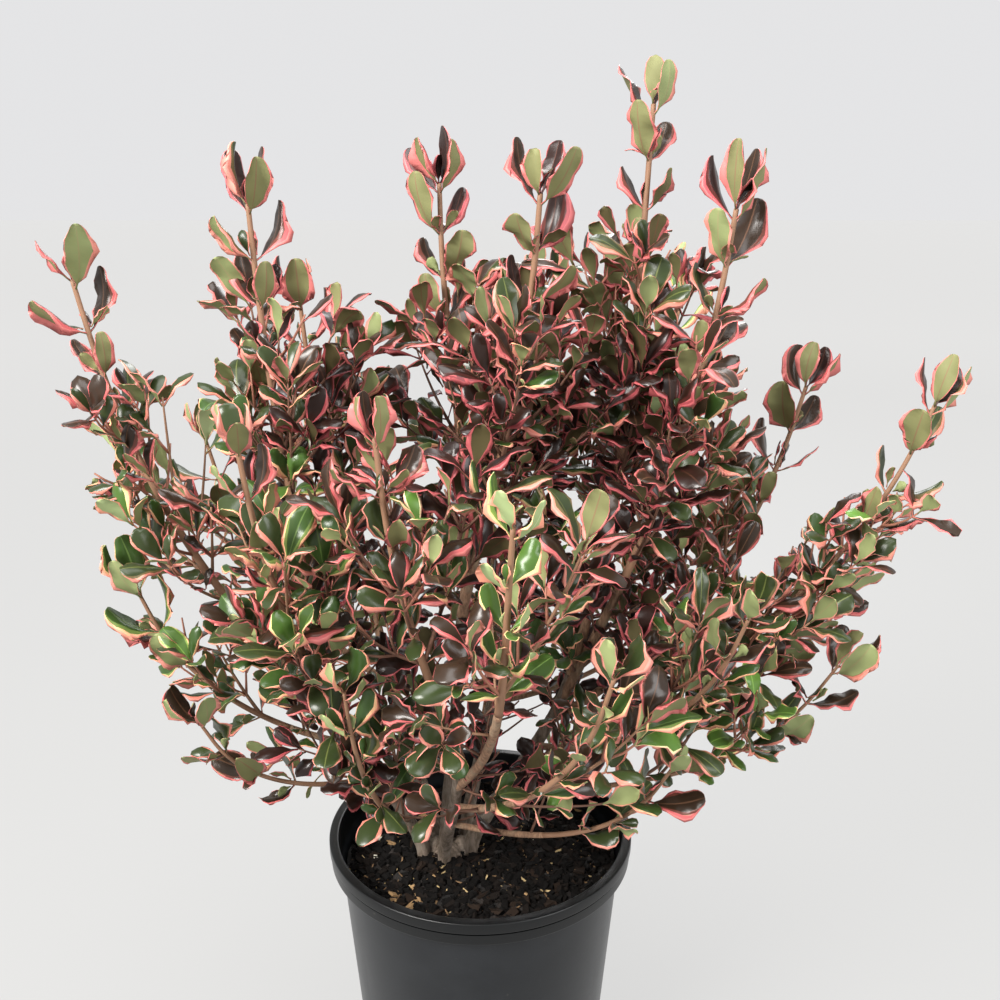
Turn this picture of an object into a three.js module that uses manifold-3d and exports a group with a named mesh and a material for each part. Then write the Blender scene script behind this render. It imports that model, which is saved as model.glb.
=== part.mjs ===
// Potted mirror bush: a dense shrub of many stems with pink edged leaves, in a round nursery pot.
// Millimetres, +Z up. The origin is the centre of the pot's flat underside, and the plant's front faces -Y.
import * as THREE from "three";
import { mergeVertices } from "three/addons/utils/BufferGeometryUtils.js";
import Module from "manifold-3d";

const wasm = await Module();
wasm.setup();

// Driving dimensions

// The gap kept between pieces that touch.
const GAP = 0.3;
// Corners nearer to each other than this are one corner.
const WELD = 1e-4;

const POT = {
  height: 190,
  rimRadius: 100,
  rimInnerRadius: 94,
  lipHeight: 7,
  bandHeight: 15,
  shoulderRadius: 92.6,
  baseRadius: 78,
  wall: 1.6,
  floor: 2,
  edge: 1,
  sides: 32,
  drainHoles: 6,
  drainHoleRadius: 4.5,
  drainHoleHeight: 8,
  drainHoleSides: 8,
  drillLength: 20,
};

// The potting mix is level round the stems and sinks a little towards the wall.
const MIX = { level: 170, levelRadius: 48, edgeLevel: 166 };

// Each stem rises from its foot on the potting mix and leans to its head.
const STEMS = {
  right: { foot: [-7, 1], head: [58, 0, 300], footRadius: 5, headRadius: 3.4 },
  middle: { foot: [-24, 2], head: [-12, 12, 335], footRadius: 4.4, headRadius: 3 },
  left: { foot: [-38, -4], head: [-92, -4, 290], footRadius: 4.4, headRadius: 3 },
  front: { foot: [-24, -13], head: [-10, -78, 285], footRadius: 4.2, headRadius: 3 },
  back: { foot: [-11, 16], head: [16, 84, 300], footRadius: 4.4, headRadius: 3 },
  back_left: { foot: [-31, 16], head: [-70, 66, 290], footRadius: 4.2, headRadius: 3 },
};

// Each shoot leaves its stem at a share of the stem's length. Its azimuth is seen from above, from +X round
// to +Y, its reach and height are those of its top leaves, and bare is the share of it that is bare bough.
const SHOOTS = [
  { name: "top", stem: "right", fork: 1, azimuth: 11, reach: 103, height: 674 },
  { name: "right_high", stem: "right", fork: 0.88, azimuth: -10, reach: 146, height: 617 },
  { name: "right_middle", stem: "right", fork: 0.76, azimuth: 16, reach: 228, height: 502 },
  { name: "front_right", stem: "right", fork: 0.62, azimuth: -40, reach: 190, height: 410 },
  { name: "far_right", stem: "right", fork: 0.46, azimuth: -2, reach: 276, height: 502 },
  { name: "low_right", stem: "right", fork: 0.32, azimuth: -7, reach: 232, height: 338 },
  { name: "crest", stem: "middle", fork: 1, azimuth: -48, reach: 54, height: 625 },
  { name: "plume", stem: "middle", fork: 0.86, azimuth: 112, reach: 66, height: 632 },
  { name: "back_high", stem: "middle", fork: 0.7, azimuth: 70, reach: 140, height: 566 },
  { name: "horn", stem: "left", fork: 1, azimuth: -175, reach: 128, height: 620 },
  { name: "far_left", stem: "left", fork: 0.84, azimuth: 180, reach: 238, height: 577 },
  { name: "left_middle", stem: "left", fork: 0.68, azimuth: -170, reach: 212, height: 395 },
  { name: "low_left", stem: "left", fork: 0.5, azimuth: -158, reach: 184, height: 322 },
  { name: "front_left", stem: "left", fork: 0.34, azimuth: -134, reach: 168, height: 505 },
  { name: "front_high", stem: "front", fork: 1, azimuth: -110, reach: 140, height: 512 },
  { name: "front", stem: "front", fork: 0.8, azimuth: -84, reach: 192, height: 484, bare: 0.52 },
  { name: "front_low", stem: "front", fork: 0.62, azimuth: -68, reach: 188, height: 402, bare: 0.42 },
  { name: "front_foot", stem: "front", fork: 0.42, azimuth: -44, reach: 162, height: 318, bare: 0.42 },
  { name: "front_left_low", stem: "left", fork: 0.22, azimuth: -116, reach: 152, height: 376 },
  { name: "back", stem: "back", fork: 1, azimuth: 92, reach: 176, height: 540 },
  { name: "back_right", stem: "back", fork: 0.82, azimuth: 44, reach: 206, height: 560 },
  { name: "low_back_right", stem: "back", fork: 0.62, azimuth: 36, reach: 238, height: 370 },
  { name: "low_back", stem: "back", fork: 0.42, azimuth: 84, reach: 214, height: 350 },
  { name: "back_left", stem: "back_left", fork: 1, azimuth: 142, reach: 156, height: 556 },
  { name: "left_back", stem: "back_left", fork: 0.8, azimuth: 156, reach: 214, height: 462 },
  { name: "low_back_left", stem: "back_left", fork: 0.56, azimuth: 129, reach: 204, height: 364 },
];

const SEED = 41;
const BARE_SHARE = 0.3;

// A shoot leaves its stem flatter than its chord and ends steeper, by this angle where the chord is level.
const BOW = THREE.MathUtils.degToRad(34);
const STEEPEST = THREE.MathUtils.degToRad(88);
const HANDLE_SHARE = 0.36;
const SWAY_SHARE = 0.1;

const BOUGH = { rootRadius: 3, tipRadius: 2.3, sides: 5, steps: 3 };
const LEADER = { rootRadius: 2.2, tipRadius: 1.2, sides: 4, steps: 5 };
const STEM = { sides: 6, steps: 6, upright: 0.16, flare: 1.25, flareShare: 0.07 };

// Side twigs stand in crossed pairs along a leader and get shorter towards its tip. Every third pair is
// twigs, and the pairs between are leaves.
const TWIG = {
  spacing: 17,
  stride: 3,
  longest: 100,
  shortest: 15,
  fade: 1.5,
  least: 24,
  angle: THREE.MathUtils.degToRad(38),
  angleSpread: THREE.MathUtils.degToRad(14),
  turnSpread: THREE.MathUtils.degToRad(26),
  lengthSpread: 0.35,
  lift: 0.8,
  trials: [1, 0.75, 0.55],
  rootShare: 0.7,
  tipRadius: 1,
  bent: 50,
  sides: 3,
  sampledShares: [0.35, 0.6, 0.8, 1],
};

// A leaf is a thin blade of five corners, rooted on the first, with a ridge over its stalk end.
const LEAF = {
  lowLength: 48,
  highLength: 60,
  lowHeight: 300,
  highHeight: 600,
  smallShare: 0.86,
  trials: [1, 0.8, 0.65],
  corners: [
    { across: 0, along: 0 },
    { across: 0.27, along: 0.56 },
    { across: 0.16, along: 0.97 },
    { across: -0.16, along: 0.97 },
    { across: -0.27, along: 0.56 },
  ],
  middleShare: 0.5,
  ridgeShare: 0.3,
  thickness: 1.5,
  droopShare: 0.1,
  rootDepth: 0.2,
  pairAngle: THREE.MathUtils.degToRad(58),
  endAngle: THREE.MathUtils.degToRad(32),
  angleSpread: THREE.MathUtils.degToRad(12),
  lengthSpread: 0.16,
  pairShare: 0.5,
  endShare: 0.94,
  topShares: [0.98, 0.93],
  beyondTip: 0.8,
  leaderShare: 0.3,
  longTwig: 35,
};

// The share of a twig or leaf by its root that may lie in what it grows on.
const ROOTED_SHARE = 0.15;

// How far foliage keeps from the next mass, from limbs and from the pot.
const CLEAR = { mass: 0.9, limb: 1.2, pot: 3 };

// How far foliage spreads beyond its shoot's reach, the least reach that limits it, and how far it hangs
// below the foot of its leader.
const SPREAD = { beyond: 20, leastReach: 150, below: 28 };

// The crown's underside rises outwards from over the pot's rim. It stands higher at the front, where the
// stems show, and it rises more steeply on the left.
const SKIRT = { radius: 110, height: 192, front: 80, rise: 0.82, left: 0.12, least: 238 };

const UP = new THREE.Vector3(0, 0, 1);
const RIGHT = new THREE.Vector3(1, 0, 0);
// An axis that rises more than this is turned about from +X, a flatter one from the upright.
const STEEP_RISE = 0.9;

// Materials

const materials = {
  pot: new THREE.MeshStandardMaterial({ color: 0x1c1d1f, roughness: 0.45, metalness: 0 }),
  mix: new THREE.MeshStandardMaterial({ color: 0x2a211b, roughness: 0.95, metalness: 0 }),
  bark: new THREE.MeshStandardMaterial({ color: 0x857765, roughness: 0.85, metalness: 0 }),
  youngBark: new THREE.MeshStandardMaterial({ color: 0x9c7059, roughness: 0.75, metalness: 0 }),
  foliage: new THREE.MeshStandardMaterial({ color: 0x5d4a3e, roughness: 0.4, metalness: 0 }),
};

// Solids

// A closed three.js geometry as a solid.
function solidOf(geometry) {
  const bare = geometry.clone();
  bare.deleteAttribute("normal");
  bare.deleteAttribute("uv");
  const merged = mergeVertices(bare, WELD);
  return new wasm.Manifold(
    new wasm.Mesh({
      numProp: 3,
      vertProperties: new Float32Array(merged.attributes.position.array),
      triVerts: new Uint32Array(merged.index.array),
    }),
  );
}

// The largest body of a solid, without loose scraps and sealed hollows.
function mainBody(solid) {
  const bodies = solid.decompose();
  return bodies.reduce((best, body) => (body.volume() > best.volume() ? body : best));
}

function geometryOf(solid) {
  const mesh = solid.getMesh();
  const geometry = new THREE.BufferGeometry();
  geometry.setAttribute("position", new THREE.BufferAttribute(mesh.vertProperties, 3));
  geometry.setIndex(new THREE.BufferAttribute(mesh.triVerts, 1));
  geometry.computeVertexNormals();
  return geometry;
}

function namedMesh(name, geometry, material) {
  const mesh = new THREE.Mesh(geometry, material);
  mesh.name = name;
  return mesh;
}

// Numbers between 0 and 1 that are the same on every run (the mulberry32 rule).
function seededRandom(seed) {
  let state = seed >>> 0;
  return () => {
    state = (state + 0x6d2b79f5) >>> 0;
    let mixed = Math.imul(state ^ (state >>> 15), state | 1);
    mixed ^= mixed + Math.imul(mixed ^ (mixed >>> 7), mixed | 61);
    return ((mixed ^ (mixed >>> 14)) >>> 0) / 2 ** 32;
  };
}

// Pot and potting mix

// The inner face of the pot's wall at a height.
function wallRadius(height) {
  const rise = (height / (POT.height - POT.bandHeight)) * (POT.shoulderRadius - POT.baseRadius);
  return POT.baseRadius + rise - POT.wall;
}

function turned(profile) {
  const points = profile.map(([radius, height]) => new THREE.Vector2(radius, height));
  return new THREE.LatheGeometry(points, POT.sides).rotateX(Math.PI / 2);
}

function makePot() {
  const bandFoot = POT.height - POT.bandHeight;
  const lipFoot = POT.height - POT.lipHeight;
  const skirtRadius = POT.rimRadius - POT.edge;
  const body = solidOf(
    turned([
      [0, 0],
      [POT.baseRadius - POT.edge, 0],
      [POT.baseRadius, POT.edge],
      [POT.shoulderRadius, bandFoot],
      [skirtRadius, bandFoot],
      [skirtRadius, lipFoot],
      [POT.rimRadius, lipFoot],
      [POT.rimRadius, POT.height - POT.edge],
      [POT.rimRadius - POT.edge, POT.height],
      [POT.rimInnerRadius, POT.height],
      [wallRadius(bandFoot), bandFoot - POT.wall],
      [wallRadius(POT.floor), POT.floor],
      [0, POT.floor],
    ]),
  );
  let pot = body;
  for (let hole = 0; hole < POT.drainHoles; hole++) {
    const radius = POT.drainHoleRadius;
    const drill = new THREE.CylinderGeometry(radius, radius, POT.drillLength, POT.drainHoleSides)
      .rotateZ(Math.PI / 2)
      .translate(POT.baseRadius, 0, POT.drainHoleHeight)
      .rotateZ(((hole + 0.5) * 2 * Math.PI) / POT.drainHoles);
    pot = pot.subtract(solidOf(drill));
  }
  return namedMesh("pot", geometryOf(pot), materials.pot);
}

function makePottingMix() {
  const foot = POT.floor + GAP;
  const mix = turned([
    [0, foot],
    [wallRadius(foot) - GAP, foot],
    [wallRadius(MIX.edgeLevel) - GAP, MIX.edgeLevel],
    [MIX.levelRadius, MIX.level],
    [0, MIX.level],
  ]);
  return namedMesh("potting_mix", geometryOf(solidOf(mix)), materials.mix);
}

// Limbs

// A stretch of a longer curve, between two shares of its length.
class Stretch extends THREE.Curve {
  constructor(whole, from, to) {
    super();
    this.whole = whole;
    this.from = from;
    this.to = to;
  }
  getPoint(share, target = new THREE.Vector3()) {
    return this.whole.getPointAt(this.from + share * (this.to - this.from), target);
  }
}

// A round tapering limb along a curve. Its centre line runs straight from each ring to the next, and what
// grows on the limb is rooted on that line.
class Limb {
  constructor(curve, size, radiusAt = taper(size)) {
    this.curve = curve;
    this.size = size;
    this.radiusAt = radiusAt;
    this.centres = curve.getSpacedPoints(size.steps);
    this.axis = this.centres.slice(1).map((centre, i) => new THREE.Line3(this.centres[i], centre));
    this.length = curve.getLength();
    this.widest = radiusAt(0);
  }
  pointAt(share) {
    const step = Math.min(Math.floor(share * this.size.steps), this.size.steps - 1);
    return this.axis[step].at(share * this.size.steps - step, new THREE.Vector3());
  }
  // A cylinder whose rings are moved onto the centre line and scaled to the limb's radius there.
  solid(growth = 0) {
    const { sides, steps } = this.size;
    const geometry = new THREE.CylinderGeometry(1, 1, 1, sides, steps);
    const frames = this.curve.computeFrenetFrames(steps, false);
    const position = geometry.attributes.position;
    for (let i = 0; i < position.count; i++) {
      const share = position.getY(i) + 0.5;
      const ring = Math.round(share * steps);
      const radius = this.radiusAt(share) + growth;
      const point = this.centres[ring].clone();
      point.addScaledVector(frames.normals[ring], position.getX(i) * radius);
      point.addScaledVector(frames.binormals[ring], -position.getZ(i) * radius);
      position.setXYZ(i, point.x, point.y, point.z);
    }
    return solidOf(geometry);
  }
  // The limb without its rooted end.
  freePart() {
    return new Limb(new Stretch(this.curve, ROOTED_SHARE, 1), this.size).solid();
  }
}

function taper(size) {
  return (share) => size.rootRadius + (size.tipRadius - size.rootRadius) * share;
}

// A stem starts upright, widened at its foot, and leans over to its head.
function makeStemLimb(stem) {
  const foot = new THREE.Vector3(...stem.foot, MIX.level + GAP);
  const head = new THREE.Vector3(...stem.head);
  const length = foot.distanceTo(head);
  const lean = head.clone().sub(foot).normalize().add(UP).normalize();
  const curve = new THREE.CubicBezierCurve3(
    foot,
    foot.clone().addScaledVector(UP, length * STEM.upright),
    head.clone().addScaledVector(lean, -length * HANDLE_SHARE),
    head,
  );
  const radiusAt = (share) => {
    const plain = stem.footRadius + (stem.headRadius - stem.footRadius) * share;
    return plain * (1 + (STEM.flare - 1) * Math.exp(-share / STEM.flareShare));
  };
  return new Limb(curve, STEM, radiusAt);
}

function directionAt(horizontal, elevation) {
  return horizontal.clone().multiplyScalar(Math.cos(elevation)).addScaledVector(UP, Math.sin(elevation));
}

// The length of a leaf grows with the height of its shoot.
function leafLengthAt(height) {
  const share = (height - LEAF.lowHeight) / (LEAF.highHeight - LEAF.lowHeight);
  return THREE.MathUtils.lerp(LEAF.lowLength, LEAF.highLength, THREE.MathUtils.clamp(share, 0, 1));
}

// The whole path of a shoot, from inside its stem to the foot of its top leaves.
function shootPath(shoot, stemCurve, random) {
  const fork = stemCurve.getPointAt(shoot.fork);
  const azimuth = THREE.MathUtils.degToRad(shoot.azimuth);
  const crown = new THREE.Vector3(
    Math.cos(azimuth) * shoot.reach,
    Math.sin(azimuth) * shoot.reach,
    shoot.height,
  );
  const chord = crown.clone().sub(fork);
  const horizontal = new THREE.Vector3(chord.x, chord.y, 0).normalize();
  const elevation = Math.atan2(chord.z, Math.hypot(chord.x, chord.y));
  const bow = BOW * Math.cos(elevation);
  const setOff = directionAt(horizontal, elevation - bow);
  const arrival = directionAt(horizontal, Math.min(elevation + bow, STEEPEST));
  const tip = crown.clone().addScaledVector(arrival, -LEAF.beyondTip * leafLengthAt(shoot.height));
  const length = fork.distanceTo(tip);
  const sideways = new THREE.Vector3().crossVectors(horizontal, UP);
  const sway = (random() - 0.5) * 2 * SWAY_SHARE * length;
  const start = fork.clone();
  if (shoot.fork === 1) start.addScaledVector(setOff, GAP);
  return new THREE.CubicBezierCurve3(
    start,
    start.clone().addScaledVector(setOff, length * HANDLE_SHARE).addScaledVector(sideways, sway),
    tip.clone().addScaledVector(arrival, -length * HANDLE_SHARE),
    tip,
  );
}

// Space

// The bare limbs, and the leaders of the masses of foliage.
const limbs = [];
const leaders = [];

function distanceTo(limb, point) {
  const closest = new THREE.Vector3();
  return Math.min(
    ...limb.axis.map((line) => line.closestPointToPoint(point, true, closest).distanceTo(point)),
  );
}

// Foliage may hang beside the pot or stand over it, and inside it only above the potting mix.
function clearOfPot(point) {
  const radius = Math.hypot(point.x, point.y);
  if (point.z > POT.height + CLEAR.pot || radius > POT.rimRadius + CLEAR.pot) return true;
  return radius < POT.rimInnerRadius - 2 * CLEAR.pot && point.z > MIX.level + CLEAR.pot;
}

// The height of the crown's underside over a point.
function undersideAt(point) {
  const azimuth = Math.atan2(point.y, point.x);
  const height = SKIRT.height + SKIRT.front * Math.max(-Math.sin(azimuth), 0);
  const rise = SKIRT.rise - SKIRT.left * Math.cos(azimuth);
  return Math.max(height + rise * (Math.hypot(point.x, point.y) - SKIRT.radius), SKIRT.least);
}

// The crown's outline: no foliage spreads past its shoot's reach, hangs far below its leader or hangs
// below the crown's underside.
function inCrown(point, own) {
  const reach = Math.max(SHOOTS[own].reach, SPREAD.leastReach) + SPREAD.beyond;
  const lowest = Math.max(leaders[own].centres[0].z - SPREAD.below, undersideAt(point));
  return Math.hypot(point.x, point.y) < reach && point.z > lowest;
}

// A point lies in a mass's space where its own leader is the nearest one and no limb or pot is near.
function inOwnSpace(point, own, margin) {
  if (!clearOfPot(point) || !inCrown(point, own)) return false;
  const near = distanceTo(leaders[own], point) + 2 * (CLEAR.mass + margin);
  if (leaders.some((leader, i) => i !== own && distanceTo(leader, point) < near)) return false;
  return limbs.every((limb) => distanceTo(limb, point) > limb.widest + CLEAR.limb + margin);
}

// Foliage

// A leaf on a twig: it leaves along the twig's axis turned outwards by an angle, its upper face inwards.
function leafFrame(foot, axis, outward, angle, length) {
  const along = axis.clone().multiplyScalar(Math.cos(angle)).addScaledVector(outward, Math.sin(angle));
  const upper = axis.clone().multiplyScalar(Math.sin(angle)).addScaledVector(outward, -Math.cos(angle));
  const across = new THREE.Vector3().crossVectors(along, upper);
  return { foot, along, across, upper, length };
}

// A point of a leaf, from its shares of the length across and along and its height over the blade.
function leafPoint(frame, across, along, rise = 0) {
  const droop = -LEAF.droopShare * frame.length * along ** 2;
  return frame.foot
    .clone()
    .addScaledVector(frame.along, along * frame.length - LEAF.rootDepth)
    .addScaledVector(frame.across, across * frame.length)
    .addScaledVector(frame.upper, rise + droop);
}

// The corners of a leaf, its root moved out along it where only the free part of the leaf is meant.
function leafCorners(frame, from = 0) {
  return LEAF.corners.map(({ across, along }) => leafPoint(frame, across, Math.max(along, from)));
}

// A low five-sided cone: its rim becomes the leaf's corners, its apex the ridge and its cap the underside.
function leafSolid(frame, from = 0) {
  const corners = leafCorners(frame, from);
  const ridge = leafPoint(frame, 0, LEAF.ridgeShare, LEAF.thickness);
  const underside = leafPoint(frame, 0, LEAF.middleShare);
  const geometry = new THREE.ConeGeometry(1, 1, corners.length, 1);
  const position = geometry.attributes.position;
  for (let i = 0; i < position.count; i++) {
    const onRim = Math.hypot(position.getX(i), position.getZ(i)) > 0.5;
    const turn = Math.atan2(position.getX(i), position.getZ(i)) / (2 * Math.PI);
    const corner = Math.round((turn + 1) * corners.length) % corners.length;
    const middle = position.getY(i) > 0 ? ridge : underside;
    const place = onRim ? corners[corner] : middle;
    position.setXYZ(i, place.x, place.y, place.z);
  }
  return solidOf(geometry);
}

function leafSamples(frame) {
  const corners = leafCorners(frame);
  const halfway = corners.map((corner, i) => corner.clone().lerp(corners[(i + 1) % corners.length], 0.5));
  return [...corners.slice(1), ...halfway, leafPoint(frame, 0, LEAF.middleShare)];
}

// Directions at right angles to an axis, turned round it.
function outwardFrom(axis, turn) {
  const reference = Math.abs(axis.z) < STEEP_RISE ? UP : RIGHT;
  const first = new THREE.Vector3().crossVectors(axis, reference).normalize();
  const second = new THREE.Vector3().crossVectors(axis, first);
  return first.multiplyScalar(Math.cos(turn)).addScaledVector(second, Math.sin(turn));
}

// A twig sets off at an angle to its leader and lifts towards the light.
function twigCurve(foot, axis, outward, angle, length) {
  const setOff = axis.clone().multiplyScalar(Math.cos(angle)).addScaledVector(outward, Math.sin(angle));
  const lifted = setOff.clone().addScaledVector(UP, TWIG.lift).normalize();
  const bend = foot.clone().addScaledVector(setOff, length / 2);
  return new THREE.QuadraticBezierCurve3(foot, bend, bend.clone().addScaledVector(lifted, length / 2));
}

// The seeded rule: every pair of twigs on a leader, whether or not it is built.
function twigsOf(leader, random) {
  const pairs = Math.max(2, Math.floor(leader.length / TWIG.spacing));
  const twigs = [];
  let turn = random() * Math.PI;
  for (let pair = 1; pair < pairs; pair++) {
    const share = pair / pairs;
    const foot = leader.pointAt(share);
    const axis = leader.curve.getTangentAt(share);
    turn += Math.PI / 2 + (random() - 0.5) * TWIG.turnSpread;
    for (const side of [0, Math.PI]) {
      const vigour = 1 + (random() - 0.5) * 2 * TWIG.lengthSpread;
      const angle = TWIG.angle + (random() - 0.5) * 2 * TWIG.angleSpread;
      const length = (TWIG.shortest + TWIG.longest * (1 - share) ** TWIG.fade) * vigour;
      const outward = outwardFrom(axis, turn + side);
      twigs.push({ pair, share, foot, axis, outward, angle, length });
    }
  }
  return twigs;
}

// The longest of a twig's trial lengths that stays in its space, or nothing.
function fittedTwig(twig, leader, fits) {
  const rootRadius = TWIG.rootShare * leader.radiusAt(twig.share);
  for (const trial of TWIG.trials) {
    const length = twig.length * trial;
    if (length < TWIG.least) return null;
    const curve = twigCurve(twig.foot, twig.axis, twig.outward, twig.angle, length);
    const steps = length > TWIG.bent ? 2 : 1;
    const limb = new Limb(curve, { ...TWIG, rootRadius, steps });
    const samples = TWIG.sampledShares.map((share) => limb.pointAt(share));
    if (samples.every((point) => fits(point, TWIG.tipRadius))) return limb;
  }
  return null;
}

// Opposite leaves at a share of a curve.
function leafPair(limb, share, turn, angle, length, random) {
  const foot = limb.pointAt(share);
  const axis = limb.curve.getTangentAt(share);
  return [0, Math.PI].map((side) => {
    const spread = angle + (random() - 0.5) * 2 * LEAF.angleSpread;
    const size = length * (1 + (random() - 0.5) * 2 * LEAF.lengthSpread);
    return leafFrame(foot, axis, outwardFrom(axis, turn + side), spread, size);
  });
}

// The leaves of a twig: a pair at its end, and a crossed pair half way on a long twig.
function leavesOf(twig, leafLength, random) {
  const turn = random() * Math.PI;
  const leaves = leafPair(twig, LEAF.endShare, turn, LEAF.endAngle, leafLength, random);
  if (twig.length > LEAF.longTwig) {
    const crossed = turn + Math.PI / 2;
    const small = leafLength * LEAF.smallShare;
    leaves.push(...leafPair(twig, LEAF.pairShare, crossed, LEAF.pairAngle, small, random));
  }
  return leaves;
}

// A mass of foliage: the leader with the twigs that have room, and leaves on them and at the other pairs.
function makeFoliage(shoot, index) {
  const fits = (point, margin) => inOwnSpace(point, index, margin);
  const twigRandom = seededRandom(SEED * 1000 + index);
  const leafRandom = seededRandom(SEED * 2000 + index);
  const leafLength = leafLengthAt(shoot.height);
  const leader = leaders[index];
  const leaves = LEAF.topShares.flatMap((share, i) => {
    const turn = twigRandom() + (i * Math.PI) / 2;
    return leafPair(leader, share, turn, LEAF.endAngle, leafLength, leafRandom);
  });
  let solid = leader.solid();
  const free = (piece) => piece.intersect(solid).isEmpty();
  for (const twig of twigsOf(leader, twigRandom)) {
    const limb = twig.pair % TWIG.stride ? null : fittedTwig(twig, leader, fits);
    if (limb && free(limb.freePart())) {
      solid = solid.add(limb.solid());
      leaves.push(...leavesOf(limb, leafLength, leafRandom));
    } else if (twig.share > LEAF.leaderShare) {
      leaves.push(leafFrame(twig.foot, twig.axis, twig.outward, LEAF.pairAngle, leafLength));
    }
  }
  for (const leaf of leaves) {
    const sizes = LEAF.trials.map((trial) => ({ ...leaf, length: leaf.length * trial }));
    const fitted = sizes.find((size) => {
      const inside = leafSamples(size).every((point) => fits(point, 0));
      return inside && free(leafSolid(size, ROOTED_SHARE));
    });
    if (fitted) solid = solid.add(leafSolid(fitted));
  }
  return namedMesh("foliage_" + shoot.name, geometryOf(mainBody(solid)), materials.foliage);
}

// Assembly

const plant = new THREE.Group();
const cutters = [];

// A limb is cut clear of every limb made before it.
function addLimb(name, limb, material) {
  const cut = cutters.reduce((solid, cutter) => solid.subtract(cutter), limb.solid());
  plant.add(namedMesh(name, geometryOf(mainBody(cut)), material));
  cutters.push(limb.solid(GAP));
  limbs.push(limb);
}

const stemCurves = {};
for (const [name, stem] of Object.entries(STEMS)) {
  const limb = makeStemLimb(stem);
  stemCurves[name] = limb.curve;
  addLimb("stem_" + name, limb, materials.bark);
}

SHOOTS.forEach((shoot, index) => {
  const path = shootPath(shoot, stemCurves[shoot.stem], seededRandom(SEED + index));
  const bare = shoot.bare ?? BARE_SHARE;
  addLimb("bough_" + shoot.name, new Limb(new Stretch(path, 0, bare), BOUGH), materials.youngBark);
  leaders.push(new Limb(new Stretch(path, bare + GAP / path.getLength(), 1), LEADER));
});

SHOOTS.forEach((shoot, index) => plant.add(makeFoliage(shoot, index)));

const pottedBush = new THREE.Group();
pottedBush.add(makePot(), makePottingMix(), plant);

export default pottedBush;
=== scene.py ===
"""Potted mirror bush: a dense shrub of many stems with pink edged leaves, in a round nursery pot.

Metres, +Z up. The pot stands on z = 0, and the plant's front faces -Y.
"""

import math
from collections import defaultdict, namedtuple
from itertools import product

import bpy
import numpy as np
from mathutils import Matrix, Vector, noise


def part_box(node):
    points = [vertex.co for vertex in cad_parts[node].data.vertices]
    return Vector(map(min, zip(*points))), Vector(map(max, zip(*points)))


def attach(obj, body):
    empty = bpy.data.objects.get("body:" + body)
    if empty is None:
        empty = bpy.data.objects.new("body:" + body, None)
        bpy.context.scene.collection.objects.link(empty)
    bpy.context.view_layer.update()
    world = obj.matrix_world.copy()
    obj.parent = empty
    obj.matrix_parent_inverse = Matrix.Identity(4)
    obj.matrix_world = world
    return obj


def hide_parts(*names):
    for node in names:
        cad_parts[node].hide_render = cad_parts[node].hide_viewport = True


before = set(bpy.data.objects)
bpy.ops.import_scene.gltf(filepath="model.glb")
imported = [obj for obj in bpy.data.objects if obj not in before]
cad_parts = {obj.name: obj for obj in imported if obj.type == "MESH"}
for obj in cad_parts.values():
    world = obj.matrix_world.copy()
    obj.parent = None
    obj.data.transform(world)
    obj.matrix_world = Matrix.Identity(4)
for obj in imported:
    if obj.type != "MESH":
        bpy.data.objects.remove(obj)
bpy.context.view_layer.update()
BODY = "root"

UP = Vector((0, 0, 1))
RIGHT = Vector((1, 0, 0))

# Sizes of the pot and the potting mix

_, POT_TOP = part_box("pot")
POT_HEIGHT = POT_TOP.z
RIM_RADIUS = POT_TOP.y
RIM_INNER_RADIUS = 0.094
LIP_FOOT = POT_HEIGHT - 0.007
BAND_FOOT = POT_HEIGHT - 0.015
BAND_RADIUS = RIM_RADIUS - 0.001
GROOVE = 0.0012
SHOULDER_RADIUS = 0.0926
BASE_RADIUS = 0.078
# The foot ring is the narrow step that the pot stands on.
FOOT_RING = {"width": 0.005, "slope": 0.001, "height": 0.0012}
WALL = 0.0016
FLOOR = 0.002
FILLET = 0.0009
POT_SIDES = 192
DRAIN_HOLES = 6
DRAIN_HOLE_RADIUS = 0.0045
DRAIN_HOLE_HEIGHT = 0.008
CLEARANCE = 0.0003

MIX_LEVEL = 0.170
MIX_LEVEL_RADIUS = 0.048
MIX_EDGE_LEVEL = 0.166
MIX_EDGE_RADIUS = 0.09
CRUMBS_FROM_WALL = 0.004

# The plant's stems and shoots

Stem = namedtuple("Stem", "foot head foot_radius head_radius")
STEMS = {
    "right": Stem((-0.007, 0.001), (0.058, 0, 0.300), 0.0050, 0.0034),
    "middle": Stem((-0.024, 0.002), (-0.012, 0.012, 0.335), 0.0044, 0.003),
    "left": Stem((-0.038, -0.004), (-0.092, -0.004, 0.290), 0.0044, 0.003),
    "front": Stem((-0.024, -0.013), (-0.010, -0.078, 0.285), 0.0042, 0.003),
    "back": Stem((-0.011, 0.016), (0.016, 0.084, 0.300), 0.0044, 0.003),
    "back_left": Stem((-0.031, 0.016), (-0.070, 0.066, 0.290), 0.0042, 0.003),
}

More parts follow.
